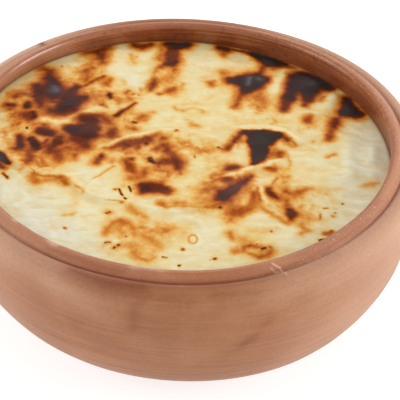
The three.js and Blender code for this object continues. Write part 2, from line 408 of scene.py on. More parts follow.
def mesh_piece(name, points, faces):
    """A smooth mesh object at the origin, from its points and its arrays of faces."""
    mesh = bpy.data.meshes.new(name)
    mesh.from_pydata((points * MM).tolist(), [], [face for part in faces for face in part.tolist()])
    mesh.polygons.foreach_set("use_smooth", np.ones(len(mesh.polygons), bool))
    mesh.update()
    piece = bpy.data.objects.new(name, mesh)
    bpy.context.collection.objects.link(piece)
    return piece


def stain(piece, name, values):
    """Stores one number for each point of a piece, which its material reads by name."""
    attribute = piece.data.attributes.new(name, "FLOAT", "POINT")
    attribute.data.foreach_set("value", np.ascontiguousarray(values, np.float32).ravel())


def beads_distance(x, y, beads):
    """Distance to the outside of a string of tapering beads, less than 0 within it."""
    nearest = np.full(x.shape, np.inf)
    chain = list(beads) if len(beads) > 1 else [beads[0], beads[0]]
    for (x0, y0, r0), (x1, y1, r1) in zip(chain, chain[1:]):
        span = max((x1 - x0) ** 2 + (y1 - y0) ** 2, 1e-9)
        share = np.clip(((x - x0) * (x1 - x0) + (y - y0) * (y1 - y0)) / span, 0, 1)
        away = np.hypot(x - x0 - share * (x1 - x0), y - y0 - share * (y1 - y0))
        nearest = np.minimum(nearest, away - (r0 + share * (r1 - r0)))
    return nearest


# How a mark fades: how far in from its edge it begins, over how many widths of the edge, and how
# sharply. Then how much wider the edge of its halo is
FADING_STARTS = 0.4
FADING_WIDTHS = 1.7
FADING_POWER = 1.3
HALO_WIDTHS = 2.6


def fading(away, edge):
    """1 well within a mark, about 0.7 at its edge, and then less over about the edge's width."""
    return np.exp(-(np.maximum(away / edge / FADING_WIDTHS + FADING_STARTS, 0) ** FADING_POWER))


def beads_sum(x, y, marks, halo=0.0):
    """Marks laid over each other: near the strongest one, and a little more where they overlap.

    The halo is the share of each mark's strength that it has in the wider ring around it.
    """
    total = np.zeros(x.shape)
    for strength, edge, *beads in marks:
        away = beads_distance(x, y, beads)
        total += (strength * fading(away, edge)) ** 3
        if halo:
            total += (halo * strength * fading(away, HALO_WIDTHS * edge)) ** 3
    return np.minimum(np.cbrt(total), 1)


def turned_faces(rings, turns):
    """Faces of a shape turned about the axis: rings of points, then its lower and upper pole."""
    ring, turn = np.meshgrid(np.arange(rings - 1), np.arange(turns), indexing="ij")
    after = (turn + 1) % turns
    walls = np.stack([
        ring * turns + turn, ring * turns + after,
        (ring + 1) * turns + after, (ring + 1) * turns + turn,
    ], -1).reshape(-1, 4)
    here = np.arange(turns)
    there = (here + 1) % turns
    last = (rings - 1) * turns
    lower_pole = np.full(turns, rings * turns)
    lower_fan = np.column_stack([lower_pole, there, here])
    upper_fan = np.column_stack([lower_pole + 1, last + here, last + there])
    return [walls, lower_fan, upper_fan]


def out_of_round(turn):
    """The radius at a turn as a share of the round one: oval, and a little three-sided."""
    return 1 + OVAL * np.sin(2 * turn) + TRILOBE * np.sin(3 * turn)


def by_hand(x, y, z):
    """The potter's irregularity: the rim rises to one side, and the round is slightly oval."""
    z = z + (RIM_RISE_X * x + RIM_RISE_Y * y) * smooth_step(z, RISE_FROM, RISE_TO)
    share = out_of_round(np.arctan2(y, x))
    return x * share, y * share, z


def along_at(outline, along, r, z):
    """The distance along the section to its point that is nearest to (r, z)."""
    return along[np.argmin(np.hypot(*(outline - [r, z]).T))]


def clay_marks(along, turn, x, y, height, lip_top, groove_at):
    """How strong each mark is on the bowl's grid, and at the poles of foot and floor, by name.

    Bands follow the distance along the section from the groove or from the lip's top. Most of
    them fade towards one side of the bowl, and random waves make them uneven. The stains are
    strings of beads on the wall laid flat, moved a little by random waves.
    """
    below_lip = along - lip_top
    from_groove = along - groove_at
    circle_x, circle_y = CIRCLE * np.cos(turn), CIRCLE * np.sin(turn)
    under_groove = fade(from_groove, *UNDER_GROOVE) * fade(np.abs(x), *UNDER_GROOVE_SIDES)

    worn, worn_turn, worn_width = DIRT_WORN
    dirt = bell(from_groove, 0, DIRT_WIDTH)
    dirt = dirt * (1 - worn * bell(np.degrees(turn), worn_turn, worn_width))
    dirt = dirt * (1 - fade(np.sin(turn), *DIRT_LESS_BACK)) * (1 - fade(-x, *DIRT_LESS_LEFT))
    # Painted shade: a darker band just under the groove, taken partly off at the sides
    shade_under_groove = bell(from_groove, -SHADE_BAND_BELOW, SHADE_BAND_WIDTH) * (1 - SHADE_BAND_LIFTED * under_groove)

    slip = fade(from_groove, *SLIP_ABOVE)
    glaze = fade(below_lip, *GLAZE_INSIDE)
    caramel = (1 - fade(height, *CARAMEL_ENDS)) * (below_lip > 0)
    caramel = caramel * (1 - fade(-x, *CARAMEL_LESS_LEFT))
    caramel = caramel * uneven(circle_x, circle_y, *CARAMEL_PATCHES)
    # Painted highlight: pale streaks over the glaze inside, towards the left
    film = fade(-x, *HIGHLIGHT_STREAKS_LEFT) * fade(below_lip, *HIGHLIGHT_STREAKS_INSIDE)
    film = film * uneven(below_lip, circle_x, *HIGHLIGHT_STREAK_WAVES)

    # Painted light: the clay is painted paler towards the right, the left and the back left, and under
    # the groove at the sides, where more light falls
    pale = fade(x, *LIGHT_PAINTED_RIGHT) + fade(-x, *LIGHT_PAINTED_LEFT)
    pale += fade(-x, *LIGHT_PAINTED_BACK_LEFT) * fade(y, *LIGHT_PAINTED_BACK)
    pale += np.where(x > 0, LIGHT_PAINTED_UNDER_RIGHT, LIGHT_PAINTED_UNDER_LEFT) * under_groove
    pale *= uneven(circle_x, along, *LIGHT_PAINTED_PATCHES)

    around = turn + np.radians(uneven(circle_x, along, *STAINS_MOVE_AROUND))
    up_wall = from_groove + uneven(circle_x, along, *STAINS_MOVE_UP)
    stained, chalky = (
        beads_sum(around * BOWL_RADIUS, up_wall, [
            (strength, edge, *((np.radians(at) * BOWL_RADIUS, up, reach) for at, up, reach in beads))
            for strength, edge, *beads in marks
        ]) for marks in (DARK_STAINS, PALE_STAINS)
    )
    sanded = fade(np.cos(turn), *SANDED_RIGHT) * fade(from_groove, *SANDED_ABOVE)
    sanded = sanded * (1 - fade(below_lip, *SANDED_ENDS))
    return {
        "along": (along, (0, along[-1, 0])),
        "stained": (stained, (0, 0)),
        "chalky": (chalky, (0, 0)),
        "sanded": (sanded, (0, 0)),
        "groove": (dirt, (0, 0)),
        "slip": (slip, (0, 1)),
        "glaze": (glaze, (0, 1)),
        "wet": (glaze * (1 - fade(x, *DRY_RIGHT)), (0, 1)),
        "shade_under_groove": (shade_under_groove, (0, 0)),
        "caramel": (caramel, (0, 1)),
        "film": (film, (0, 0)),
        "pale": (pale * (1 - LIGHT_PAINTED_UNDER_SLIP * slip) * (1 - glaze), (0, 0)),
    }


def throw_bowl():
    """The bowl's section turned about the axis, each point pushed out along its own normal.

    Outside, the push is a spiral of fine rings, stronger in patches, over a slow swell. Inside
    the lip it is the turned ledges and fine turned lines. Then all of it goes out of round.
    """
    outline = bowl_outline()
    step = np.diff(outline, axis=0, prepend=outline[:1])
    along = np.cumsum(np.hypot(*step.T))
    slope = np.gradient(outline, axis=0)
    slope /= np.hypot(*slope.T)[:, None]
    outward = np.column_stack([slope[:, 1], -slope[:, 0]])
    turn = np.linspace(0, 2 * np.pi, BOWL_TURN_STEPS, endpoint=False)
    along_grid, turn_grid = np.meshgrid(along, turn, indexing="ij")
    circle_x, circle_y = CIRCLE * np.cos(turn_grid), CIRCLE * np.sin(turn_grid)
    r0, z0 = outline[:, :1], outline[:, 1:]
    groove_at = along_at(outline, along, GROOVE_RADIUS, BOWL_HEIGHT - GROOVE_DROP)
    lip_top = along[np.argmax(outline[:, 1])]
    lip_end = along_at(
        outline, along, LIP_RADIUS - LIP_INNER_ROUND, BOWL_HEIGHT - LIP_INNER_ROUND
    )

    outside = smooth_step(z0, *THROWN_FROM) * (along_grid <= lip_end)
    spiral = along_grid + SPIRAL_PITCH * turn_grid / (2 * np.pi)
    rings = uneven(spiral, circle_x, *THROWING_RINGS)
    rings = rings * uneven(circle_x, along_grid, *RING_PATCHES)
    swell = uneven(circle_x, circle_y + along_grid * SWELL_FINE, *SLOW_SWELL)
    push = outside * (rings + swell)
    below_lip = along_grid - lip_top
    within = smooth_step(below_lip, *TURNED_FROM) * (1 - smooth_step(below_lip, *TURNED_TO))
    ledges = sum(top * bell(below_lip, depth, reach) for depth, reach, top in LIP_LEDGES)
    winding = below_lip + TURNED_PITCH * turn_grid
    push += within * (ledges + uneven(winding, circle_x, *TURNED_LINES))

    r = r0 + push * outward[:, :1]
    z = z0 + push * outward[:, 1:]
    x, y, z = by_hand(r * np.cos(turn_grid), r * np.sin(turn_grid), z)
    points = np.column_stack([x.ravel(), y.ravel(), z.ravel()])
    points = np.vstack([points, [[0, 0, 0], [0, 0, FLOOR_HEIGHT]]])
    bowl = mesh_piece("bowl_clay", points, turned_faces(len(outline), BOWL_TURN_STEPS))
    marks = clay_marks(along_grid, turn_grid, x, y, z0, lip_top, groove_at)
    for name, (values, poles) in marks.items():
        stain(bowl, name, np.concatenate([values.ravel(), poles]))
    return bowl


def number(tree, name):
    """The piece's own stored number of that name."""
    return place(tree, "ShaderNodeAttribute", attribute_name=name).outputs["Fac"]


def object_point(tree):
    """The point of the piece in its own coordinates, in metres."""
    return place(tree, "ShaderNodeTexCoord").outputs["Object"]


def maths(tree, operation, first, second=0.0, clamp=False):
    """One step of arithmetic with two numbers, clamped from 0 to 1 if asked."""
    return place(
        tree, "ShaderNodeMath", {0: first, 1: second}, operation=operation, use_clamp=clamp
    ).outputs[0]


def point_maths(tree, operation, inputs, output="Vector"):
    """One step of arithmetic with points: its point, or its number where that is asked for."""
    return place(tree, "ShaderNodeVectorMath", inputs, operation=operation).outputs[output]


def rescale(tree, value, low, high, at_low=0.0, at_high=1.0):
    """A number that goes evenly from one value to another, as the given one goes from low to high."""
    return place(tree, "ShaderNodeMapRange", {
        "Value": value, "From Min": low, "From Max": high, "To Min": at_low, "To Max": at_high,
    }).outputs["Result"]


def blend_colours(tree, share, first, second, way="MIX"):
    """The first colour with a share of the second laid over it."""
    return place(
        tree, "ShaderNodeMix", {0: share, 6: first, 7: second}, data_type="RGBA", blend_type=way
    ).outputs[2]


def ramp(tree, factor, stops):
    """A colour ramp through (place, colour) stops."""
    made = place(tree, "ShaderNodeValToRGB", {"Fac": factor})
    bar = made.color_ramp
    while len(bar.elements) < len(stops):
        bar.elements.new(0.5)
    for element, (position, shade) in zip(bar.elements, stops):
        element.position = position
        element.color = shade
    return made.outputs["Color"]


SPECKLE_ROUGHNESS = 0.55


def speckle_group():
    """A node group of soft random speckle, which the clay, the skin and the flecks all have.

    "Speckle" is the noise itself. "Patches" is a mask that goes from 0 to Amount, as the noise
    goes from None At to Full At.
    """
    group = bpy.data.node_groups.new("speckle", "ShaderNodeTree")
    noise_inputs = ("Vector", "Scale", "Detail", "Roughness")
    for name in (*noise_inputs, "None At", "Full At", "Amount"):
        kind = "NodeSocketVector" if name == "Vector" else "NodeSocketFloat"
        group.interface.new_socket(name, in_out="INPUT", socket_type=kind)
    for name in ("Speckle", "Patches"):
        group.interface.new_socket(name, in_out="OUTPUT", socket_type="NodeSocketFloat")
    given = group.nodes.new("NodeGroupInput").outputs
    result = group.nodes.new("NodeGroupOutput").inputs
    noise = place(group, "ShaderNodeTexNoise", {name: given[name] for name in noise_inputs})
    noise = noise.outputs["Fac"]
    patches = rescale(group, noise, given["None At"], given["Full At"], 0.0, given["Amount"])
    group.links.new(noise, result["Speckle"])
    group.links.new(patches, result["Patches"])
    return group


def speckle(tree, point, scale, detail, roughness=SPECKLE_ROUGHNESS):
    """Soft random noise of that fineness about a point."""
    return place(
        tree, "ShaderNodeGroup",
        {"Vector": point, "Scale": scale, "Detail": detail, "Roughness": roughness},
        node_tree=SPECKLE,
    ).outputs["Speckle"]


def patches(tree, point, scale, detail, none_at, full_at, amount=1.0):
    """Random patches: a mask from 0 to an amount, as such noise goes from one level to another."""
    return place(
        tree, "ShaderNodeGroup",
        {
            "Vector": point, "Scale": scale, "Detail": detail, "Roughness": SPECKLE_ROUGHNESS,
            "None At": none_at, "Full At": full_at, "Amount": amount,
        },
        node_tree=SPECKLE,
    ).outputs["Patches"]


def finish_surface(tree, shader, shade, rough, relief, strength, depth):
    """Wires the colour and the roughness to the shader, and the relief as a bump of that depth."""
    bump = place(
        tree, "ShaderNodeBump", {"Strength": strength, "Distance": depth * MM, "Height": relief}
    )
    tree.links.new(shade, shader.inputs["Base Color"])
    tree.links.new(rough, shader.inputs["Roughness"])
    tree.links.new(bump.outputs["Normal"], shader.inputs["Normal"])


def scratched(tree, point):
    """The strongest of the scratches, each fading with the distance in plan from its stroke."""
    flat = point_maths(tree, "MULTIPLY", {0: point, 1: (1, 1, 0)})
    strongest = 0.0
    for strength, half_width, start, stop in SCRATCHES:
        begin = Vector((*start, 0)) * MM
        run = Vector((*stop, 0)) * MM - begin
        away = point_maths(tree, "SUBTRACT", {0: flat, 1: begin})
        share = point_maths(tree, "DOT_PRODUCT", {0: away, 1: run / run.length_squared}, "Value")
        share = maths(tree, "ADD", share, clamp=True)
        nearest = point_maths(tree, "SCALE", {0: run, "Scale": share})
        distance = point_maths(tree, "DISTANCE", {0: away, 1: nearest}, "Value")
        edges = [part * (half_width * MM) for part in SCRATCH_FADE]
        strongest = maths(
            tree, "MAXIMUM", strongest, rescale(tree, distance, *edges, strength, 0.0)
        )
    height = place(tree, "ShaderNodeSeparateXYZ", {0: point}).outputs["Z"]
    high = maths(tree, "GREATER_THAN", height, SCRATCHES_ABOVE * MM)
    return maths(tree, "MULTIPLY", strongest, high)


# The fine turned lines: how fine they are to a metre round the bowl and to a millimetre up its
# wall. Then their colours, by how light the line is
LINES_AROUND = (46, 46, 0)
LINES_ALONG = 1.1
CLAY_LINES = ((0.28, colour(150, 94, 60)), (0.72, colour(172, 114, 75)))
SLIP_LINES = ((0.30, colour(164, 101, 68)), (0.70, colour(184, 120, 84)))
GLAZE_LINES = ((0.35, colour(144, 77, 38)), (0.65, colour(170, 101, 60)))

# Noise: scale, detail, roughness
TURNED_LINES_NOISE = (1.0, 5.0, 0.62)
GRIT_NOISE = (1500.0, 2.0)

# Random patches: scale, detail, noise at which they begin and are full, amount. Then their colour
CLAY_BLOTCHES = (
    ((62.0, 4.0, 0.50, 0.72, 0.6), colour(150, 94, 64)),
    ((62.0, 4.0, 0.50, 0.28, 0.6), colour(176, 121, 85)),
)
GLAZE_MOTTLE = (620.0, 3.0, 0.50, 0.72, 0.55)
MOTTLE_BROWN = colour(104, 48, 20)
SAND_GRAINS = (1900.0, 1.0, 0.65, 0.74, 0.6)
SAND = colour(226, 192, 168)

# Marks, painted light, painted shade and painted highlights over the clay, over the glaze and over
# both:
# stored number, strength, colour
# Over the clay: painted light on the sides and under the groove, then painted shade in a band under the
# groove
OVER_CLAY = (("pale", 1.0, colour(206, 163, 134)), ("shade_under_groove", 0.5, colour(140, 80, 54)))
CARAMEL = ("caramel", 1.0, colour(122, 58, 18))
# Painted highlight: pale streaks over the glaze at the left
PAINTED_HIGHLIGHT_STREAKS = ("film", 0.8, colour(204, 152, 122))
OVER_BOTH = (
    ("stained", 1.0, colour(118, 46, 16)),
    ("chalky", 1.0, colour(212, 168, 138)),
    ("groove", 0.9, colour(112, 44, 16)),
)
SCRATCHED_CLAY = colour(232, 190, 166)

# Grit darkens or lightens all of it a little
GRIT = ((0.3, (0.9, 0.9, 0.9, 1)), (0.7, (1.05, 1.05, 1.05, 1)))

# Roughness of the bare clay and of the glaze, and shares of the lines and the grit in the relief
CLAY_ROUGH = 0.62
GLAZE_ROUGH = 0.28
LINES_RELIEF = 0.6
GRIT_RELIEF = 0.4


def laid_over(tree, below, mark, strength, shade):
    """A colour with a mark's colour laid over it, as strong as its stored number says."""
    share = maths(tree, "MULTIPLY", number(tree, mark), strength, clamp=True)
    return blend_colours(tree, share, below, shade)


def clay_finish():
    """Fired clay: turned lines and blotches outside, slip on the lip, brown glaze within.

    Each mark lays its own colour over that, in the order in which they came about. The painted
    light, the painted shade and the painted highlights are laid over it in the same way.
    """
    material, tree, shader = finish_of(
        "fired_clay", IOR=1.5, Specular_IOR_Level=0.25, Sheen_Weight=0.1, Sheen_Roughness=0.5,
        Coat_Roughness=0.22,
    )
    point = object_point(tree)
    along = maths(tree, "MULTIPLY", number(tree, "along"), LINES_ALONG)
    along = place(tree, "ShaderNodeCombineXYZ", {"Z": along}).outputs[0]
    banded = point_maths(tree, "MULTIPLY_ADD", {0: point, 1: LINES_AROUND, 2: along})
    lines = speckle(tree, banded, *TURNED_LINES_NOISE)
    grit = speckle(tree, point, *GRIT_NOISE)

    clay = ramp(tree, lines, CLAY_LINES)
    for blotches, shade in CLAY_BLOTCHES:
        clay = blend_colours(tree, patches(tree, point, *blotches), clay, shade)
    clay = blend_colours(tree, number(tree, "slip"), clay, ramp(tree, lines, SLIP_LINES))
    for mark in OVER_CLAY:
        clay = laid_over(tree, clay, *mark)

    glazed = laid_over(tree, ramp(tree, lines, GLAZE_LINES), *CARAMEL)
    glazed = blend_colours(tree, patches(tree, point, *GLAZE_MOTTLE), glazed, MOTTLE_BROWN)
    glazed = laid_over(tree, glazed, *PAINTED_HIGHLIGHT_STREAKS)
    glaze = number(tree, "glaze")
    clay = blend_colours(tree, glaze, clay, glazed)

    for mark in OVER_BOTH:
        clay = laid_over(tree, clay, *mark)
    clay = blend_colours(tree, scratched(tree, point), clay, SCRATCHED_CLAY)
    sand = maths(tree, "MULTIPLY", patches(tree, point, *SAND_GRAINS), number(tree, "sanded"))
    clay = blend_colours(tree, sand, clay, SAND)
    clay = blend_colours(tree, 1.0, clay, ramp(tree, grit, GRIT), "MULTIPLY")

    tree.links.new(number(tree, "wet"), shader.inputs["Coat Weight"])
    rough = rescale(tree, glaze, 0, 1, CLAY_ROUGH, GLAZE_ROUGH)
    relief = maths(
        tree, "ADD", maths(tree, "MULTIPLY", lines, LINES_RELIEF),
        maths(tree, "MULTIPLY", grit, GRIT_RELIEF),
    )
    finish_surface(tree, shader, clay, rough, relief, strength=0.35, depth=0.2)
    return material


SPECKLE = speckle_group()
bowl = throw_bowl()
bowl.data.materials.append(clay_finish())
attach(bowl, "root")
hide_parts("clay_bowl")


# ---------------------------------------------------------------------------------------------
# Rice pudding: milk and rice set in the bowl, under a skin that baked in folds and blisters.
# The grill browned the skin where it stood up, from gold to black, and left the hollows cream.

# The skin: its level, how far in from the wall it is held down, the height at which its crests
# level off, and its crown. Its edge runs a little into the wall, and its side stays off the wall
PUDDING_LEVEL = 42.0
SKIN_HELD = 5.0
SKIN_CREST = 2.1
CROWN = 0.4
INTO_WALL = 0.08
PUDDING_GAP = 0.35
SKIN_CELLS = 300
SKIN_SEED = 5

# Folds: from x, y; to x, y; bow; height; width in front; width behind
FOLDS = (
    (-22, 0.5, 2, 9, 2.6, 1.5, 4.5, 1.6),
    (-2, 9.3, 13, 3, 1.6, 0.8, 3.5, 1.6),
    (12, 2, 17, 11.6, 0.8, 1.1, 2.8, 1.6),
    (15, 11.4, 30, 10.6, 0.9, 1.5, 6, 1.6),
    (28, 11.2, 34, 4.6, 0.8, 0.8, 3, 1.8),
    (9, -11.5, 29, -1.5, -0.6, 1.0, 2.4, 1.6),
    (7, -24.5, 20, -9, 1.2, 0.9, 2.6, 2.2),
    (-8, -23.2, 12, -24.4, -0.8, 0.9, 1.6, 5),
    (20.5, -12, 22, -22.5, -0.6, 0.7, 1.6, 2.4),
    (21, -21.5, 30, -30, 0.8, 0.7, 2.4, 1.6),
    (-47, -3.5, -38, -11.5, -0.9, 0.8, 1.6, 3.5),
    (-40, -11.2, -26, -18, 1.8, 0.9, 2.2, 2.2),
    (-28, -17.5, -12, -23.5, -1.2, 0.7, 1.8, 2.6),
    (-14, -23, 2, -27.5, -1.0, 0.7, 1.8, 3.2),
    (-26, -14.5, -17, -5.5, 0.5, 0.6, 1.6, 2),
    (-19, 15.5, -12, 24.5, -0.7, 0.9, 1.6, 2.6),
    (-28, 34, -20, 38, 0.5, 0.7, 2.2, 1.6),
    (-2, 21, 8, 20, 1.2, 0.5, 2, 1.6),
    (-12, -15, 0, -17, 0.8, 0.8, 2, 2),
    (22, -15, 27, -19.5, -0.6, 0.7, 1.6, 1.8),
    (27, -17, 36, -15.5, 1.6, 0.7, 2.2, 1.6),
    (36, -11.5, 54, -9, 1.6, 0.5, 3.5, 2.4),
)

# Pleats that run in from the wall, the same way
PLEATS = (
    (-21, 33, -20, 54, 0.8, 0.6, 2.6, 2.6),
    (-9.5, 29, -6, 54, -0.8, 0.8, 2.0, 2.0),
    (-0.5, 38, 0, 54, 0.5, 0.6, 2.2, 2.2),
    (10, 38, 9.5, 54, -0.6, 0.5, 2.4, 2.4),
    (22.5, 40, 19, 52, -1.5, 0.6, 2.0, 2.0),
    (28, 24, 31, 41, -1.0, 0.8, 2.2, 2.2),
    (39, 22, 45, 32, -1.2, 0.8, 2.2, 2.2),
    (47, -14, 48, 11, 1.2, 0.5, 2.2, 2.2),
    (51.5, -5, 55, 8, -0.6, 0.4, 1.8, 1.8),
)

# Blisters: x, y, reach, height
BLISTERS = (
    (-37, 30, 5, 1.0), (-32, 22, 5, 1.0), (-26, 16, 3.5, 0.8), (-28, 9, 5, 1.0),
    (-42, 17, 2.6, 0.8), (-38, 8, 2.8, 0.7), (-44, 22, 2.2, 0.6), (-40, 3.5, 2.4, 0.6),
    (-33.5, 4, 2.4, 0.6), (-25, 50, 4, 0.6), (-2, 50, 4, 0.7), (20, 37, 5, 1.1),
    (26, 47.5, 4, 0.8), (38, 36, 6, 1.1), (48, 22.5, 4, 0.9), (43.5, 15, 2.4, 0.5),
    (36, 17.5, 2.2, 0.5), (22, 4, 4.5, 0.6), (-22, -3, 2, 0.5), (-13, -6, 2.6, 0.6),
    (-2, -4, 3.4, 0.6), (14, -6.5, 2, 0.5), (25, -6.5, 1.8, 0.4), (30, -27, 2.2, 0.6),
    (-15, -34, 4.5, 0.5), (-2, -35, 5, 0.4), (21, -41.5, 3.6, 0.7), (3.8, -38, 1.8, 0.4),
)

# Long swells: height, turns for each millimetre of x and of y, start
SWELLS = ((0.22, 1 / 38, 1 / 90, 0.08), (0.18, 1 / 70, -1 / 27, 0.33), (0.12, 1 / 17, 1 / 21, 0.19))

# Fine form: a lip along each fold with its widths in front and behind, creases and a faint grain,
# with the shortest and longest wave, the seed and the number of the random waves
FOLD_LIP = 0.22
FOLD_LIP_WIDTHS = (0.9, 0.45)
CREASE_DEPTH = 0.13
CREASE_STRETCH = (0.7, 1.2)
CREASE_WAVES = (6, 16, SKIN_SEED + 3, 28)
GRAIN_DEPTH = 0.014
GRAIN_WAVES = (2, 6, SKIN_SEED + 4, 40)

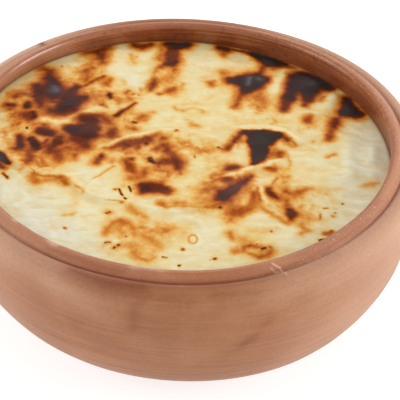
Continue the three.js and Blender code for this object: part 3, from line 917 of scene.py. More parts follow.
# Scorches: strength, softness of the edge, then x, y and radius of each bead along the mark
SCORCHES = (
    # back left, by the wall
    (0.93, 1.5, (-38.3, 36.5, 0.9), (-37.2, 33, 1.8), (-36.6, 29.5, 2.2), (-36.8, 27, 1.2)),
    (0.74, 1.5, (-42, 31.5, 1.5), (-41, 28, 2.0), (-40.8, 24.5, 1.4), (-40.3, 21.5, 0.9)),
    (0.70, 1.5, (-41, 41, 0.6), (-38.8, 39.5, 1.2), (-39.6, 36, 1.4)),
    (0.72, 1.2, (-30.6, 31.8, 1.0), (-32, 29, 1.4), (-33.5, 26.5, 1.3)),
    (0.58, 1.4, (-39, 32.5, 1.2), (-38.8, 28, 1.2)),
    (0.56, 1.2, (-37.5, 24, 0.9), (-35.5, 23.4, 0.9)),
    (0.94, 1.3, (-34.4, 20.6, 1.2), (-32, 22.6, 2.0), (-30.4, 23.4, 1.5)),
    (0.72, 1.4, (-33, 25.2, 1.4), (-30.5, 26.2, 1.7), (-28.2, 26, 1.5)),
    (0.70, 1.4, (-37, 19.5, 1.4), (-33.5, 18.7, 1.4), (-29.8, 19.8, 1.4)),
    (0.44, 1.6, (-37.5, 17.4, 1.2), (-34, 16.8, 1.2), (-30, 17.8, 1.0)),
    (0.78, 0.9, (-49.4, 21.6, 0.7), (-48.2, 21.8, 0.7)),
    (0.64, 0.8, (-49, 19.6, 0.6)),
    (0.95, 0.9, (-43.8, 22.6, 0.7), (-44, 21.4, 0.8)),
    (0.64, 1.0, (-47.8, 26.5, 0.8)),
    (0.50, 1.4, (-46.2, 27.8, 0.9), (-44.5, 27.4, 0.8)),
    (0.99, 0.5, (-42.4, 26.6, 0.4)),
    (0.58, 1.0, (-44.4, 17.4, 1.4), (-43, 15.2, 1.3)),
    (0.84, 0.8, (-42, 18, 0.8), (-41.4, 16.2, 0.9)),
    (0.80, 1.2, (-31.2, 10.8, 1.6), (-28.6, 9.2, 2.6), (-25.8, 8.4, 2.5), (-24, 7.6, 1.4)),
    (0.64, 1.0, (-31, 11.4, 1.0), (-30.4, 9.4, 1.2)),
    (0.70, 1.0, (-28.8, 12, 0.9), (-26.2, 12.6, 1.1), (-23.6, 11, 1.1)),
    (0.76, 1.3, (-28, 16.4, 1.5), (-26, 15.4, 2.1), (-24.4, 14.2, 1.5)),
    (0.60, 1.4, (-24.5, 17.8, 1.0), (-21.8, 16.6, 1.3), (-20.2, 14, 1.1)),
    (0.70, 1.7, (-30, 5.4, 1.2), (-27.4, 4.2, 1.8), (-26.4, 1.8, 1.3)),
    (0.80, 1.0, (-38.8, 9.2, 1.7), (-36.6, 8.2, 1.6)),
    (0.55, 1.0, (-38.4, 12.3, 0.9)),
    (0.80, 0.8, (-44.9, 6.4, 0.7), (-44.4, 4.2, 0.9), (-44.4, 1.6, 0.7)),
    (0.60, 0.9, (-45.6, 0.2, 0.5)),
    (0.84, 0.8, (-41.5, 5.2, 1.0), (-40.4, 3.2, 1.3), (-39.6, 1.2, 0.9)),
    (0.62, 0.6, (-37.2, 5, 0.4), (-38, 3, 0.4)),
    (0.76, 1.0, (-33.8, 6, 1.1), (-34, 4.2, 1.7), (-34.8, 2.6, 1.1)),
    (0.62, 1.3, (-36.8, 2.4, 0.8), (-35.8, 0.6, 1.0)),
    (0.50, 1.4, (-31.5, 1.6, 1.0), (-28.5, 0.6, 0.8)),
    (0.66, 1.2, (-19.2, 10.4, 1.2), (-19.2, 8.2, 1.7)),
    # back, between the pleats
    (0.64, 1.5, (-22.6, 54.8, 1.1), (-24.4, 51, 2.0), (-24.2, 47.6, 1.3), (-23.6, 45.4, 0.5)),
    (0.56, 1.5, (-29.2, 50.4, 0.9), (-27, 51, 1.3), (-25.5, 50.5, 1.3)),
    (0.68, 1.1, (-14.5, 55.4, 1.1), (-12, 54.2, 1.5), (-9.6, 55.6, 1.1)),
    (0.42, 1.0, (-12.5, 52.8, 0.6)),
    (0.99, 1.2, (-4.2, 56.4, 1.1), (-1.2, 55.5, 1.7), (1.6, 56.2, 1.2)),
    (0.72, 1.1, (-2.9, 53, 1.8), (-2.8, 50, 2.2), (-2.9, 47.6, 2.2), (-3.2, 45.4, 1.8)),
    (0.44, 1.2, (-6.4, 53.5, 0.6), (-6.2, 49, 0.8), (-6.8, 47, 0.4)),
    (0.58, 1.0, (-6, 43.9, 0.7), (-4.4, 44.8, 0.9), (-1.8, 46.2, 0.9)),
    (0.62, 0.8, (-2, 42.3, 0.6)),
    (0.34, 1.0, (-7, 43, 0.6), (-8, 40, 0.7), (-8.4, 37, 0.7)),
    (0.64, 0.9, (-7.7, 36.2, 0.6), (-8.4, 33.6, 1.1), (-9.1, 31, 0.7)),
    (0.34, 1.6, (-1.8, 40.4, 1.1), (-3.4, 38, 1.3)),
    (0.50, 1.1, (-3.6, 30.6, 1.1), (-2.1, 31.6, 0.9)),
    (0.55, 0.6, (-6.2, 29, 0.45)),
    (0.38, 0.6, (-5.6, 29.3, 0.3), (-3.5, 30, 0.3)),
    (0.28, 0.9, (0.3, 34.2, 0.8), (0.2, 32, 0.6)),
    (0.20, 0.9, (-17, 36, 0.8), (-16.8, 33.8, 0.7)),
    (0.28, 1.4, (-15.6, 29.6, 0.9), (-15.4, 27, 1.0), (-14.6, 25.2, 0.7)),
    (0.30, 0.5, (-12, 31.6, 0.3), (-11.6, 29.8, 0.3)),
    (0.34, 0.5, (-12.4, 28.4, 0.4)),
    (0.46, 0.5, (-15.2, 30.4, 0.35), (-15.8, 28.8, 0.3)),
    (0.44, 0.5, (-14, 28.8, 0.4)),
    (0.40, 0.5, (-14.6, 26.2, 0.4)),
    (0.84, 0.5, (-20.8, 28.2, 0.7), (-20.2, 26.8, 0.35)),
    (0.50, 0.9, (-21.7, 27.6, 0.5)),
    (0.60, 0.7, (-22.5, 22.6, 0.8), (-21.5, 21.8, 0.5)),
    (0.82, 0.19, (-21.3, 21.9, 0.14)),
    (0.45, 1.0, (-21, 36, 0.8), (-22, 34, 0.8), (-21.6, 33, 0.6)),
    (0.78, 0.5, (-13, 23.8, 0.15), (-15, 21.5, 0.35), (-16.8, 19.2, 0.7), (-18.4, 17.6, 0.9)),
    (0.27, 0.6, (-2, 22.4, 0.3), (-1.2, 20.9, 0.5), (0.6, 20.4, 0.4)),
    (0.20, 0.5, (0.6, 20.4, 0.3), (3, 22.2, 0.3), (8, 20.2, 0.2)),
    (0.30, 1.1, (4.6, 13.2, 0.9), (3, 14, 0.7)),
    (0.26, 0.6, (2, 15.8, 0.5)),
    (0.33, 0.7, (-8, 19.5, 0.5)),
    (0.52, 0.5, (-30.2, 31.4, 0.5), (-26.4, 34.4, 0.45), (-22.6, 37.4, 0.5)),
    (0.42, 1.6, (-28, 40.5, 1.4), (-28, 36, 1.2)),
    (0.38, 1.6, (-27, 44, 0.8)),
    (0.26, 1.4, (-15, 49, 1.1), (-14.6, 45.5, 1.0)),
    (0.50, 0.19, (-13.8, 48.3, 0.14)),
    (0.60, 0.4, (-1.3, 10.5, 0.35)),
    (0.46, 1.0, (-10.8, 17.8, 0.8), (-11.6, 16, 0.8)),
    (0.82, 0.22, (-13.4, 14.3, 0.29), (-12.5, 14.0, 0.18)),
    (0.44, 1.0, (-15, 11.5, 0.7), (-13, 11, 0.8)),
    (0.78, 0.19, (-35.5, 42.6, 0.18)),
    # back right, by the wall
    (0.88, 1.0, (11.4, 55, 1.0), (13.4, 54, 1.2)),
    (0.50, 1.2, (12.2, 51.4, 1.0), (12.4, 49.8, 0.5)),
    (0.80, 0.6, (15.5, 54.1, 0.4), (18, 52.9, 0.4), (21, 51.8, 0.6)),
    (1.00, 1.0, (21.8, 52.6, 0.9), (24, 50, 2.1), (26.2, 47.6, 2.5), (28.6, 46.8, 1.8),
     (31, 46.4, 0.7)),
    (0.52, 1.2, (27.5, 43.6, 0.8), (31, 45, 0.9), (33.5, 44.6, 0.6)),
    (0.64, 1.2, (24, 44, 0.9), (23.5, 42, 1.1), (22.8, 41, 1.2)),
    (0.45, 1.4, (12.6, 41, 1.3)),
    (0.97, 1.3, (14.6, 36.9, 1.3), (18, 36.8, 2.8), (21.6, 37.6, 3.0), (24.4, 37.6, 1.5)),
    (0.97, 1.2, (20.6, 34.6, 2.7), (18.9, 31.8, 1.6)),
    (0.56, 1.2, (17.4, 29.6, 0.9), (16.4, 26.5, 0.8), (15.6, 23.4, 0.8)),
    (0.34, 1.6, (23, 31, 1.2), (22.5, 28, 1.8), (23.5, 25, 1.4)),
    (0.50, 1.0, (8.6, 35.6, 0.8), (9, 34.2, 0.6)),
    (0.98, 1.3, (33.4, 39.6, 1.8), (36.4, 39.6, 2.3), (40.2, 37.2, 2.6), (43.4, 34.6, 1.4)),
    (0.96, 1.3, (33.2, 35.5, 2.4), (37.4, 33.6, 3.0)),
    (0.84, 1.2, (32.2, 32.5, 1.9), (31.4, 29, 1.7)),
    (0.72, 1.1, (31.4, 29, 1.7), (30.4, 25.4, 1.4), (29.3, 22.4, 1.0)),
    (0.80, 1.0, (36.8, 30.6, 2.2), (36.8, 28.4, 1.6)),
    (0.60, 0.9, (36.6, 27.4, 1.1), (35.8, 24.8, 0.8)),
    (0.45, 1.0, (41.2, 29.4, 0.7), (40.6, 27.6, 0.6)),
    (0.98, 1.2, (47.9, 28.6, 0.9), (48.1, 26, 1.5), (48.6, 22.4, 2.6), (50.4, 21, 1.8)),
    (0.88, 1.1, (46.6, 21.2, 1.5)),
    (0.72, 1.2, (44.3, 18, 1.2), (43.8, 16, 1.4), (43.2, 14.4, 0.9)),
    (0.60, 1.0, (42.7, 12.5, 1.0), (42.1, 9.8, 1.2), (41.6, 7.8, 0.8)),
    (0.54, 1.0, (36.4, 18.6, 1.1), (36, 16.6, 1.3)),
    (0.28, 0.5, (26, 17.5, 0.2), (27, 15.6, 0.3), (25.6, 14.5, 0.25)),
    (0.22, 0.9, (6.5, 20, 0.9)),
    (0.25, 0.8, (21.5, 20.3, 0.7)),
    # middle right, under its fold
    (1.00, 0.7, (18.2, 10.7, 0.9), (20.2, 9.9, 1.6), (22.3, 9.2, 2.4), (25.6, 9, 2.2),
     (27.2, 9.4, 1.4)),
    (0.98, 0.7, (21.5, 6.5, 2.7), (22, 3, 2.3), (22, 0, 2.2), (21.3, -2.6, 1.5), (20.4, -4.6, 0.6)),
    (0.95, 0.8, (24.5, 6, 1.4)),
    (0.66, 0.9, (16.9, 10.2, 1.0), (16.1, 8, 0.8), (15, 5.9, 0.6)),
    (0.60, 1.0, (15.2, 5.9, 0.6), (14.2, 4, 0.7), (13, 2.4, 0.8)),
    (0.38, 0.9, (17, 6.5, 0.8)),
    (0.72, 0.8, (29.3, 8.2, 0.7), (29.8, 6.8, 0.6)),
    (0.42, 0.6, (30.5, 7.3, 0.4), (31.8, 5.8, 0.4), (32.3, 4.9, 0.3)),
    (0.36, 0.6, (30, 5, 0.35), (31.5, 4.2, 0.35)),
    (0.45, 0.9, (26, 2.5, 0.8), (25.4, 0, 0.8), (24.8, -1.3, 0.5)),
    (0.62, 1.0, (27.8, 0.8, 1.0), (27.2, -0.6, 0.7)),
    (0.30, 0.5, (29.8, 0, 0.25), (30.5, -3.5, 0.3), (29.9, -6.3, 0.25)),
    (0.50, 0.19, (10.5, 3, 0.22), (12, 2, 0.11)),
    (0.68, 1.0, (13.7, -6.7, 1.3), (15.2, -6.4, 1.4)),
    (0.35, 0.5, (11.6, -8, 0.4)),
    (0.54, 0.9, (24, -6.2, 0.8), (25.4, -6.7, 1.2)),
    (0.22, 0.8, (37, 7, 0.8)),
    (0.38, 0.6, (43, 0.8, 0.5), (40.5, -0.4, 0.4)),
    (0.74, 1.1, (19.4, -10, 0.1), (17, -13, 0.9), (14.8, -15.8, 1.6), (12, -19, 1.8)),
    (0.62, 1.3, (12, -19, 1.8), (10, -21, 0.9)),
    (0.64, 1.1, (11.4, -10.9, 1.1), (13.2, -12, 1.2)),
    (0.38, 1.3, (8.6, -15, 1.4), (7.3, -16.8, 1.0)),
    (0.42, 0.9, (7, -24.2, 0.4), (11, -22.8, 0.8), (13.6, -21.4, 1.0)),
    (0.50, 1.2, (19.8, -17.6, 0.9), (19.8, -21, 1.2), (18.6, -24, 1.6), (16, -26, 1.6)),
    (0.42, 1.5, (14.6, -24, 1.4), (14, -27.4, 1.2), (13.6, -30, 0.6)),
    (0.36, 1.3, (15.6, -18.6, 0.8), (16.4, -21, 1.0)),
    (0.56, 0.3, (21.1, -15, 0.15), (21.3, -18.8, 0.25), (21.6, -21, 0.2)),
    (0.74, 0.8, (24, -15.4, 0.7), (24.1, -17, 1.1), (25.2, -18.7, 0.8), (26.2, -19.4, 0.3)),
    (0.40, 0.4, (26.5, -10.5, 0.25), (25, -13.5, 0.25)),
    (0.25, 0.5, (27, -8, 0.25), (28.5, -13, 0.25)),
    (0.46, 0.8, (28.2, -16.4, 0.8)),
    (0.36, 0.8, (21.8, -23.4, 0.6), (23.6, -25.7, 0.8), (26.5, -28.3, 0.6), (28.8, -30.6, 0.3)),
    (0.16, 1.5, (35.7, -6.6, 1.4)),
    (0.16, 1.5, (39.5, -6.9, 1.4)),
    (0.12, 1.4, (40, -15.6, 1.4), (43.6, -15.2, 1.4)),
    (0.20, 1.0, (-18.8, -27.3, 1.2)),
    (0.46, 1.1, (29.8, -17.2, 0.9), (31.4, -17.5, 1.6), (33.3, -16, 0.9), (35, -15.3, 0.4)),
    # middle left
    (0.56, 1.0, (-20.8, 1.5, 0.3), (-18, 2.4, 0.8), (-15.2, 4.4, 1.4), (-12, 5, 1.7), (-9, 5.8, 1.4)),
    (0.44, 1.0, (-9, 6.4, 1.2), (-6.5, 8.6, 0.9)),
    (0.76, 0.5, (-9.6, 3.9, 0.4)),
    (0.56, 0.9, (-14.4, 3.0, 0.8)),
    (0.54, 0.9, (-11.6, 2.6, 0.8)),
    (0.52, 1.1, (-4.6, 6.9, 1.2)),
    (0.56, 1.3, (-4.4, 3.6, 0.9), (-3.2, 0.8, 1.2), (-1.8, -1.6, 1.4), (-0.6, -4.4, 1.5),
     (-0.4, -7, 1.0)),
    (0.50, 1.0, (-0.4, -7, 1.0), (0.2, -9.4, 0.4)),
    (0.48, 0.9, (-6.4, 1.5, 1.0)),
    (0.56, 1.1, (-6, -5.2, 0.9), (-4, -4, 1.4), (-1.4, -4.2, 1.5)),
    (0.94, 0.5, (-8.4, -2.9, 0.4), (-7.9, -3.8, 0.55), (-7.2, -4.5, 0.3)),
    (0.74, 0.6, (-13.5, -3.3, 0.7)),
    (0.62, 1.0, (-15, -4.4, 0.7), (-13.8, -6.6, 1.3), (-12.8, -9, 1.0)),
    (0.54, 1.0, (-9.5, -8, 0.5), (-9.7, -9.6, 0.6)),
    (0.42, 1.3, (-10.2, -10.6, 1.4), (-10.8, -11.6, 1.4), (-13.4, -12, 1.1)),
    (0.36, 0.6, (-3, -8.4, 0.4), (-3.2, -10.8, 0.4)),
    (0.80, 0.7, (-21.6, -2, 0.6)),
    (0.60, 1.0, (-22.2, -3.6, 1.2), (-22.9, -5.4, 0.9)),
    (0.30, 0.8, (-23.8, -6.5, 0.4)),
    (0.36, 1.0, (-18.6, -4.6, 0.8)),
    (0.36, 0.3, (-23, -12.6, 0.1), (-20.5, -9.8, 0.15), (-18, -6.8, 0.12)),
    (0.77, 0.9, (-10.2, -15.6, 1.2), (-9.4, -16.5, 1.4), (-8.6, -17.0, 0.9)),
    (0.70, 0.9, (-8, -15.8, 1.4), (-5, -15.9, 1.3), (-3.6, -16.4, 0.9)),
    (0.62, 1.0, (-9.8, -18, 1.2), (-6, -17.5, 0.9), (-2.8, -17.8, 1.2)),
    (0.40, 1.4, (-10, -13.8, 0.8), (-5, -13.6, 0.8)),
    (0.90, 0.15, (-16.2, -16.9, 0.072), (-15.6, -19.2, 0.18), (-15.4, -19.8, 0.14)),
    (0.88, 0.15, (-14.8, -20.7, 0.11), (-14.2, -21.4, 0.14)),
    (0.90, 0.15, (-13.5, -16.2, 0.22), (-13.1, -17.4, 0.18), (-12.8, -18.2, 0.072)),
    (0.50, 0.4, (-17, -17.4, 0.3)),
    (0.45, 0.22, (-12.3, -16.8, 0.14)),
    (0.30, 0.8, (-15, -15.5, 0.4)),
    (0.40, 0.16, (-19.8, -21.8, 0.05), (-17.3, -22.2, 0.12), (-14.2, -22.6, 0.05)),
    (0.50, 0.4, (-15.2, -23, 0.4)),
    (0.70, 0.14, (3.9, -1, 0.072), (4.3, -2.2, 0.086)),
    (0.30, 0.22, (2.5, 3.5, 0.18)),
    # left, by the wall
    (1.00, 0.5, (-50.8, -3, 2.3), (-48.6, -4.6, 1.3), (-46.9, -6.3, 0.6)),
    (0.68, 0.8, (-49.8, -7.4, 1.2), (-47.8, -8.6, 0.6)),
    (0.86, 0.3, (-47.7, -11, 0.12), (-46.9, -12.4, 0.18), (-46.4, -13.3, 0.05)),
    (0.54, 1.2, (-41.8, -0.5, 1.0), (-41.2, -3.2, 1.2), (-41.8, -5.6, 0.8)),
    (0.50, 0.4, (-43.5, -4.5, 0.3), (-42, -5.2, 0.3), (-40.5, -5, 0.3)),
    (0.42, 0.6, (-37.8, -3.5, 0.4), (-37.3, -6.5, 0.4)),
    (0.40, 0.5, (-39.5, -5.5, 0.3), (-38, -8, 0.3), (-36, -7.5, 0.3)),
    (0.55, 1.1, (-36, -1, 0.8)),
    (0.56, 1.2, (-34, -0.5, 1.4), (-33.2, -2.8, 1.3), (-33, -5, 0.7)),
    (0.48, 1.0, (-29.3, -2, 1.0), (-28.8, -4, 0.5)),
    (0.30, 0.5, (-44.2, -9.3, 0.2), (-43.6, -9.3, 0.4)),
    (0.18, 0.8, (-43.5, -10.8, 0.6)),
    (0.42, 1.2, (-39.8, -12.2, 0.9), (-38.6, -14.6, 1.2)),
    (0.34, 1.2, (-36, -13.6, 1.1), (-33.6, -13.6, 1.1)),
    (0.45, 0.5, (-40, -10.8, 0.3), (-37.4, -12, 0.3), (-34, -11.8, 0.3), (-31.4, -12.2, 0.3)),
    (0.50, 1.0, (-32.4, -12.6, 0.6), (-31.2, -13.8, 1.0), (-30.4, -15, 0.6)),
    (0.18, 1.8, (-28.4, -17, 0.8), (-27.6, -20.5, 1.2), (-27.2, -24, 1.0)),
    (0.35, 0.22, (-40.2, -8.5, 0.14), (-39, -11, 0.14)),
    (0.35, 0.4, (-28, -16, 0.25), (-26, -17.5, 0.25), (-25.5, -19, 0.2)),
    (0.28, 0.7, (-30, -29, 0.4), (-28.3, -28.6, 0.6), (-27.6, -27.7, 0.3)),
    (0.50, 0.22, (-29.6, -34.3, 0.22)),
    (0.62, 0.26, (-18.8, -27.7, 0.29), (-18.2, -27.2, 0.18)),
    (0.30, 1.1, (-18.5, -27.6, 1.0)),
    # front
    (0.35, 1.2, (-12.8, -25.2, 1.1), (-11.6, -26.8, 1.1), (-9.4, -28.6, 0.7)),
    (0.42, 0.9, (-4.8, -23, 1.0), (-3.6, -24.4, 0.4)),
    (0.25, 1.3, (-5, -22.6, 0.8), (1, -22.8, 1.0), (7, -23, 0.8)),
    (0.35, 0.9, (-1, -22.5, 1.0), (1, -23, 0.8)),
    (0.33, 0.4, (-3.5, -24.4, 0.25), (2, -24.3, 0.2), (8, -24.6, 0.25), (10.5, -24.2, 0.3)),
    (0.96, 0.19, (10.9, -24.2, 0.25)),
    (0.37, 1.0, (-18.9, -36.4, 0.4), (-18.4, -33.8, 0.8), (-17, -31.8, 0.9), (-15, -31, 1.0)),
    (0.35, 1.0, (-15, -31, 1.0), (-12.8, -32, 0.9), (-11.5, -34.4, 0.8), (-11.4, -36.6, 0.4)),
    (0.45, 0.22, (-13.7, -37.2, 0.22)),
    (0.40, 0.22, (-12.5, -34.8, 0.14)),
    (0.30, 1.3, (-9.4, -37, 0.9), (-6.8, -38.4, 1.1), (-5, -41.2, 1.2)),
    (0.22, 2.0, (-5, -32.6, 1.4), (-1.5, -33.6, 1.6)),
    (0.25, 0.8, (-11, -40.5, 0.5)),
    (0.60, 0.19, (-18.8, -40.1, 0.14), (-17.5, -40.1, 0.14)),
    (0.85, 0.19, (-15.4, -41, 0.18)),
    (0.75, 0.22, (-16.3, -42, 0.25)),
    (0.35, 0.9, (-11.4, -44.2, 0.7), (-10.2, -45.8, 0.6), (-8.2, -46.9, 0.5)),
    (0.28, 0.9, (-7.6, -46.8, 0.4), (-6.2, -45.8, 0.5)),
    (0.50, 0.22, (-3.9, -45.4, 0.22), (-2.8, -45.5, 0.11)),
    (0.85, 0.19, (0.2, -48.7, 0.25)),
    (0.70, 0.26, (1.1, -42, 0.29)),
    (0.80, 0.26, (9.3, -45.8, 0.29)),
    (0.50, 0.15, (8.2, -46.3, 0.11)),
    (0.42, 1.0, (13.3, -35.4, 0.9), (14.3, -37.4, 0.6)),
    (0.36, 0.9, (14.8, -42.4, 1.1)),
    # front right
    (0.27, 1.1, (50, -13.2, 0.8), (52, -12.8, 1.4), (54, -11.9, 0.6)),
    (0.16, 0.9, (40, -15.5, 0.7), (43, -15.4, 0.7)),
    (0.50, 0.9, (28.8, -20.5, 0.5), (29, -23, 0.8)),
    (0.78, 0.7, (29.6, -24.8, 0.9), (29.8, -26.4, 1.6), (29.6, -28.6, 0.5)),
    (0.34, 1.0, (32.4, -31.2, 1.1), (33.4, -33, 1.0), (32, -34.8, 0.5)),
    (0.45, 0.22, (37.5, -26.5, 0.14), (37.3, -28.7, 0.22)),
    (0.45, 0.22, (38.5, -23.6, 0.22), (39.5, -23.5, 0.14)),
    (0.45, 0.22, (41.5, -25.7, 0.22)),
    (0.33, 0.4, (40.8, -27, 0.4)),
    (0.50, 0.22, (43.6, -21.7, 0.25)),
    (0.35, 0.22, (35.8, -22.5, 0.22)),
    (0.20, 1.2, (18.6, -34, 0.9), (22.3, -33.9, 1.2), (25.5, -32.9, 0.8)),
    (0.60, 0.19, (24.3, -33.8, 0.22)),
    (0.46, 0.8, (16.8, -42.6, 0.5), (17.1, -40.6, 0.7), (19, -39.8, 0.6), (20.8, -40.8, 0.6)),
    (0.85, 0.26, (21.5, -41.2, 0.25), (22.3, -41, 0.36)),
    (0.48, 0.8, (18.8, -43.4, 0.5), (20.6, -44.6, 0.7), (22.8, -43.9, 0.8), (24.2, -42, 0.5)),
    (0.60, 0.4, (23.8, -40.8, 0.3)),
    (0.50, 0.5, (38.5, -34.5, 0.7), (40, -34.3, 0.8), (41.3, -34.7, 0.4)),
    (0.70, 0.22, (40, -33.4, 0.18)),
    (0.95, 0.19, (36.8, -37.2, 0.22), (37.5, -36.8, 0.22)),
)

# Toasted ground between the marks: strength, softness, then the same beads
TOASTED = (
    (0.26, 3.5, (-46, 20, 3), (-40, 14, 5), (-30, 10, 5), (-24, 6, 3)),
    (0.28, 3.5, (-40, 28, 3), (-32, 30, 4), (-26, 28, 3), (-22, 26, 2)),
    (0.40, 2.0, (-49.5, 26, 1.5), (-50.2, 23, 1.0)),
    (0.36, 2.5, (-46, 12.5, 1.8), (-47.5, 17, 1.2)),
    (0.26, 2.0, (-49.5, 10, 1.0), (-48, 4, 1.0)),
    (0.30, 3.5, (-28, 40, 2.5), (-25, 47, 1.5)),
    (0.26, 3, (-25, 33, 2.5), (-21, 27, 2.5), (-18, 24, 2)),
    (0.36, 2.0, (-44, 0, 2.5), (-36, -2, 3.0), (-31.5, -1, 1.5)),
    (0.22, 2.0, (-42, -6, 2), (-36, -7, 2)),
    (0.34, 2.5, (-16, 1, 2), (-13, 0, 2)),
    (0.30, 2.5, (-6, 1, 2), (-4, -4, 3), (-5, -8, 2)),
    (0.28, 3, (-4, 4, 2), (2, 4, 2.5), (8, 1, 2)),
    (0.30, 2.5, (10, -13, 2), (10, -17, 2.5), (8, -20, 2)),
    (0.18, 2, (23.5, -22.5, 1), (26.5, -24, 1.2)),
    (0.20, 2.5, (-2, -9, 2), (-4, -12, 2)),
    (0.22, 2.5, (10, -4, 1.5), (11, -9, 2), (9, -12, 2), (5, -17, 2)),
    (0.24, 2.5, (13, -23, 2), (14, -26, 2)),
    (0.30, 2, (20, -8.5, 1), (16, -10.5, 1.5), (18, -15, 1.5)),
    (0.22, 2.5, (26, -4, 1.5), (29, -10, 2), (28, -14, 2)),
    (0.22, 3, (27, -20, 2), (33, -21, 2.5), (34, -28, 2)),
    (0.24, 3, (-15, -34, 2.5), (-8, -34, 2), (-2, -35, 2.5)),
    (0.22, 3, (-17, -42, 1.5), (-11, -41, 2), (-8, -45, 1.5)),
    (0.16, 2.5, (2, -25.5, 1.5), (9, -27, 2)),
    (0.26, 2.5, (18, 28, 1.5), (23, 28, 2), (22, 23, 1.5)),
    (0.22, 2.5, (-14, 28, 2), (-14, 13, 2), (-10, 17, 1.5)),
    (0.20, 2.5, (-5, 51, 1), (-5, 42, 2), (-5, 36, 2.5), (-2, 30, 1.5)),
    (0.14, 3, (5, 44, 1.5), (8, 38, 2), (8, 30, 2), (2, 24, 2)),
    (0.10, 2.5, (17, 46, 2), (14, 39, 1.5)),
    (0.16, 2.5, (41, 22, 1.5), (37, 15, 2), (33, 12, 1.5)),
    (0.14, 3, (15, 16, 2), (25, 17, 2), (31, 15, 2)),
    (0.12, 4, (0, 15, 3), (8, 12, 3)),
    (0.22, 2.5, (17, -38, 1.5), (22, -42, 2)),
    (0.14, 2.5, (38, -16, 2), (42, -22, 2), (39, -28, 2)),
    (0.14, 3, (36, 4, 2), (40, 7, 2)),
)

# Skin that stayed pale and a little grey-green, laid out in the same way
MILKY = (
    (1.0, 6, (-47, -18, 3), (-42, -26, 5), (-34, -34, 5), (-26, -40, 3)),
    (1.0, 6, (52, 14, 3), (53, 0, 5), (50, -14, 4), (44, -26, 3)),
    (0.9, 3, (-18, 52, 2), (-19, 44, 1.5), (-15, 38, 2.5), (-13, 33, 2)),
    (0.7, 3, (4, 53, 2), (4, 46, 1.5), (3, 38, 1.5)),
    (0.5, 3, (-28, -8, 1.5), (-24, -12, 2), (-20, -17, 2)),
    (0.7, 2.5, (-10, -23, 1.5), (-6, -27, 1.5), (0, -28, 1.5), (6, -30, 2)),
    (0.5, 3, (10, -37, 2), (8, -42, 2)),
    (0.5, 2.5, (19, -29, 1.5), (24, -28.5, 1.5), (28, -33, 1)),
    (0.7, 1.5, (22.8, -9, 1), (22.8, -13, 1)),
    (0.5, 3, (-35, 45, 1.5), (-44, 36, 1.5), (-48, 31, 1)),
    (0.6, 1.0, (-48, 7, 0.6)),
    (0.6, 1.0, (-46.6, 21, 0.8), (-46.8, 19, 0.6)),
    (0.6, 2, (-33.5, 13.5, 1), (-37, 14, 0.7)),
    (0.5, 3, (36, -3, 2), (44, -6, 2)),
    (0.6, 3, (30, 1, 1.5), (29, -3, 1)),
    (0.5, 2, (16.5, 1, 0.8), (16.6, -3, 0.8)),
    (0.5, 2, (27, 36, 1), (27.5, 30, 1)),
    (0.5, 2, (44, 29, 1), (42, 25, 1)),
)

# Cream that a fold lays over the scorched skin behind it
CREAM_FOLDS = (
    (0.9, 0.35, (9.5, -11.4, 0.2), (12.5, -10, 0.3), (16, -8.6, 0.4), (19.6, -6.2, 0.5)),
    (0.9, 0.35, (19.6, -6.2, 0.5), (24, -3.9, 0.6), (27.5, -2.5, 0.4)),
    (0.9, 0.8, (-38.8, 14.8, 0.5), (-35, 13.6, 1.2), (-32.2, 14.8, 0.5)),
    (0.8, 0.8, (-31.6, 16.2, 0.3), (-28.6, 19.4, 0.4), (-24.5, 20.6, 0.7), (-20, 22, 0.7)),
    (0.9, 0.7, (30, 43, 0.4), (28.4, 38, 0.9), (27.2, 32, 0.8)),
    (0.8, 0.7, (45.2, 32, 0.3), (43.8, 28.5, 0.8), (42.4, 25, 0.6)),
    (1.0, 0.30, (15.3, 12.8, 0.7), (20, 13.1, 0.8), (24.5, 13.0, 0.8), (28.6, 12.2, 0.6)),
    (0.9, 0.30, (28.6, 12.2, 0.6), (31.2, 9.6, 0.4), (33.2, 7.6, 0.3)),
    (0.8, 0.35, (-22.5, 2.4, 0.1), (-19.6, 2.9, 0.2), (-17.6, 4.8, 0.2), (-14.7, 7.4, 0.3)),
    (0.8, 0.35, (-14.7, 7.4, 0.3), (-11.3, 8.2, 0.3), (-8.5, 9.6, 0.4), (-6, 11.1, 0.4), (-2, 11, 0.3)),
    (0.8, 0.30, (22.0, -15, 0.4), (22.4, -19.5, 0.4), (23.5, -22, 0.3)),
    (0.8, 0.7, (17.2, -20.6, 0.5), (17.3, -22.4, 0.4)),
    (0.8, 0.30, (14.8, 1.8, 0.4), (15.4, 4.5, 0.3)),
    (0.8, 0.25, (20.5, -41.3, 0.4)),
)

# Where the scorch is maroon instead of rust
MAROON = (
    (1.0, 3, (-42, 31, 3), (-38, 30, 4), (-33, 25, 5), (-30, 22, 3)),
    (0.9, 2.5, (-30, 10, 3), (-26, 13, 4)),
    (0.8, 2, (-44, 4, 1.5), (-40, 4, 2), (-38, 9, 2)),
    (1.0, 2, (18, -12, 1.5), (13, -18, 2.5)),
    (0.5, 2, (-8, -16, 1.5), (-4, -17, 1.5)),
    (0.9, 2, (-16, 4, 1.5), (-12, 5, 2), (-9, 5, 1.5)),
    (0.7, 2, (-4, -5, 1.5), (0, -5, 1)),
    (0.8, 3, (34, 37, 4), (40, 36, 3), (31, 28, 2)),
    (0.8, 1.5, (14.5, -6.4, 1.5)),
    (0.6, 2, (16, 8, 1), (14, 4, 1)),
)

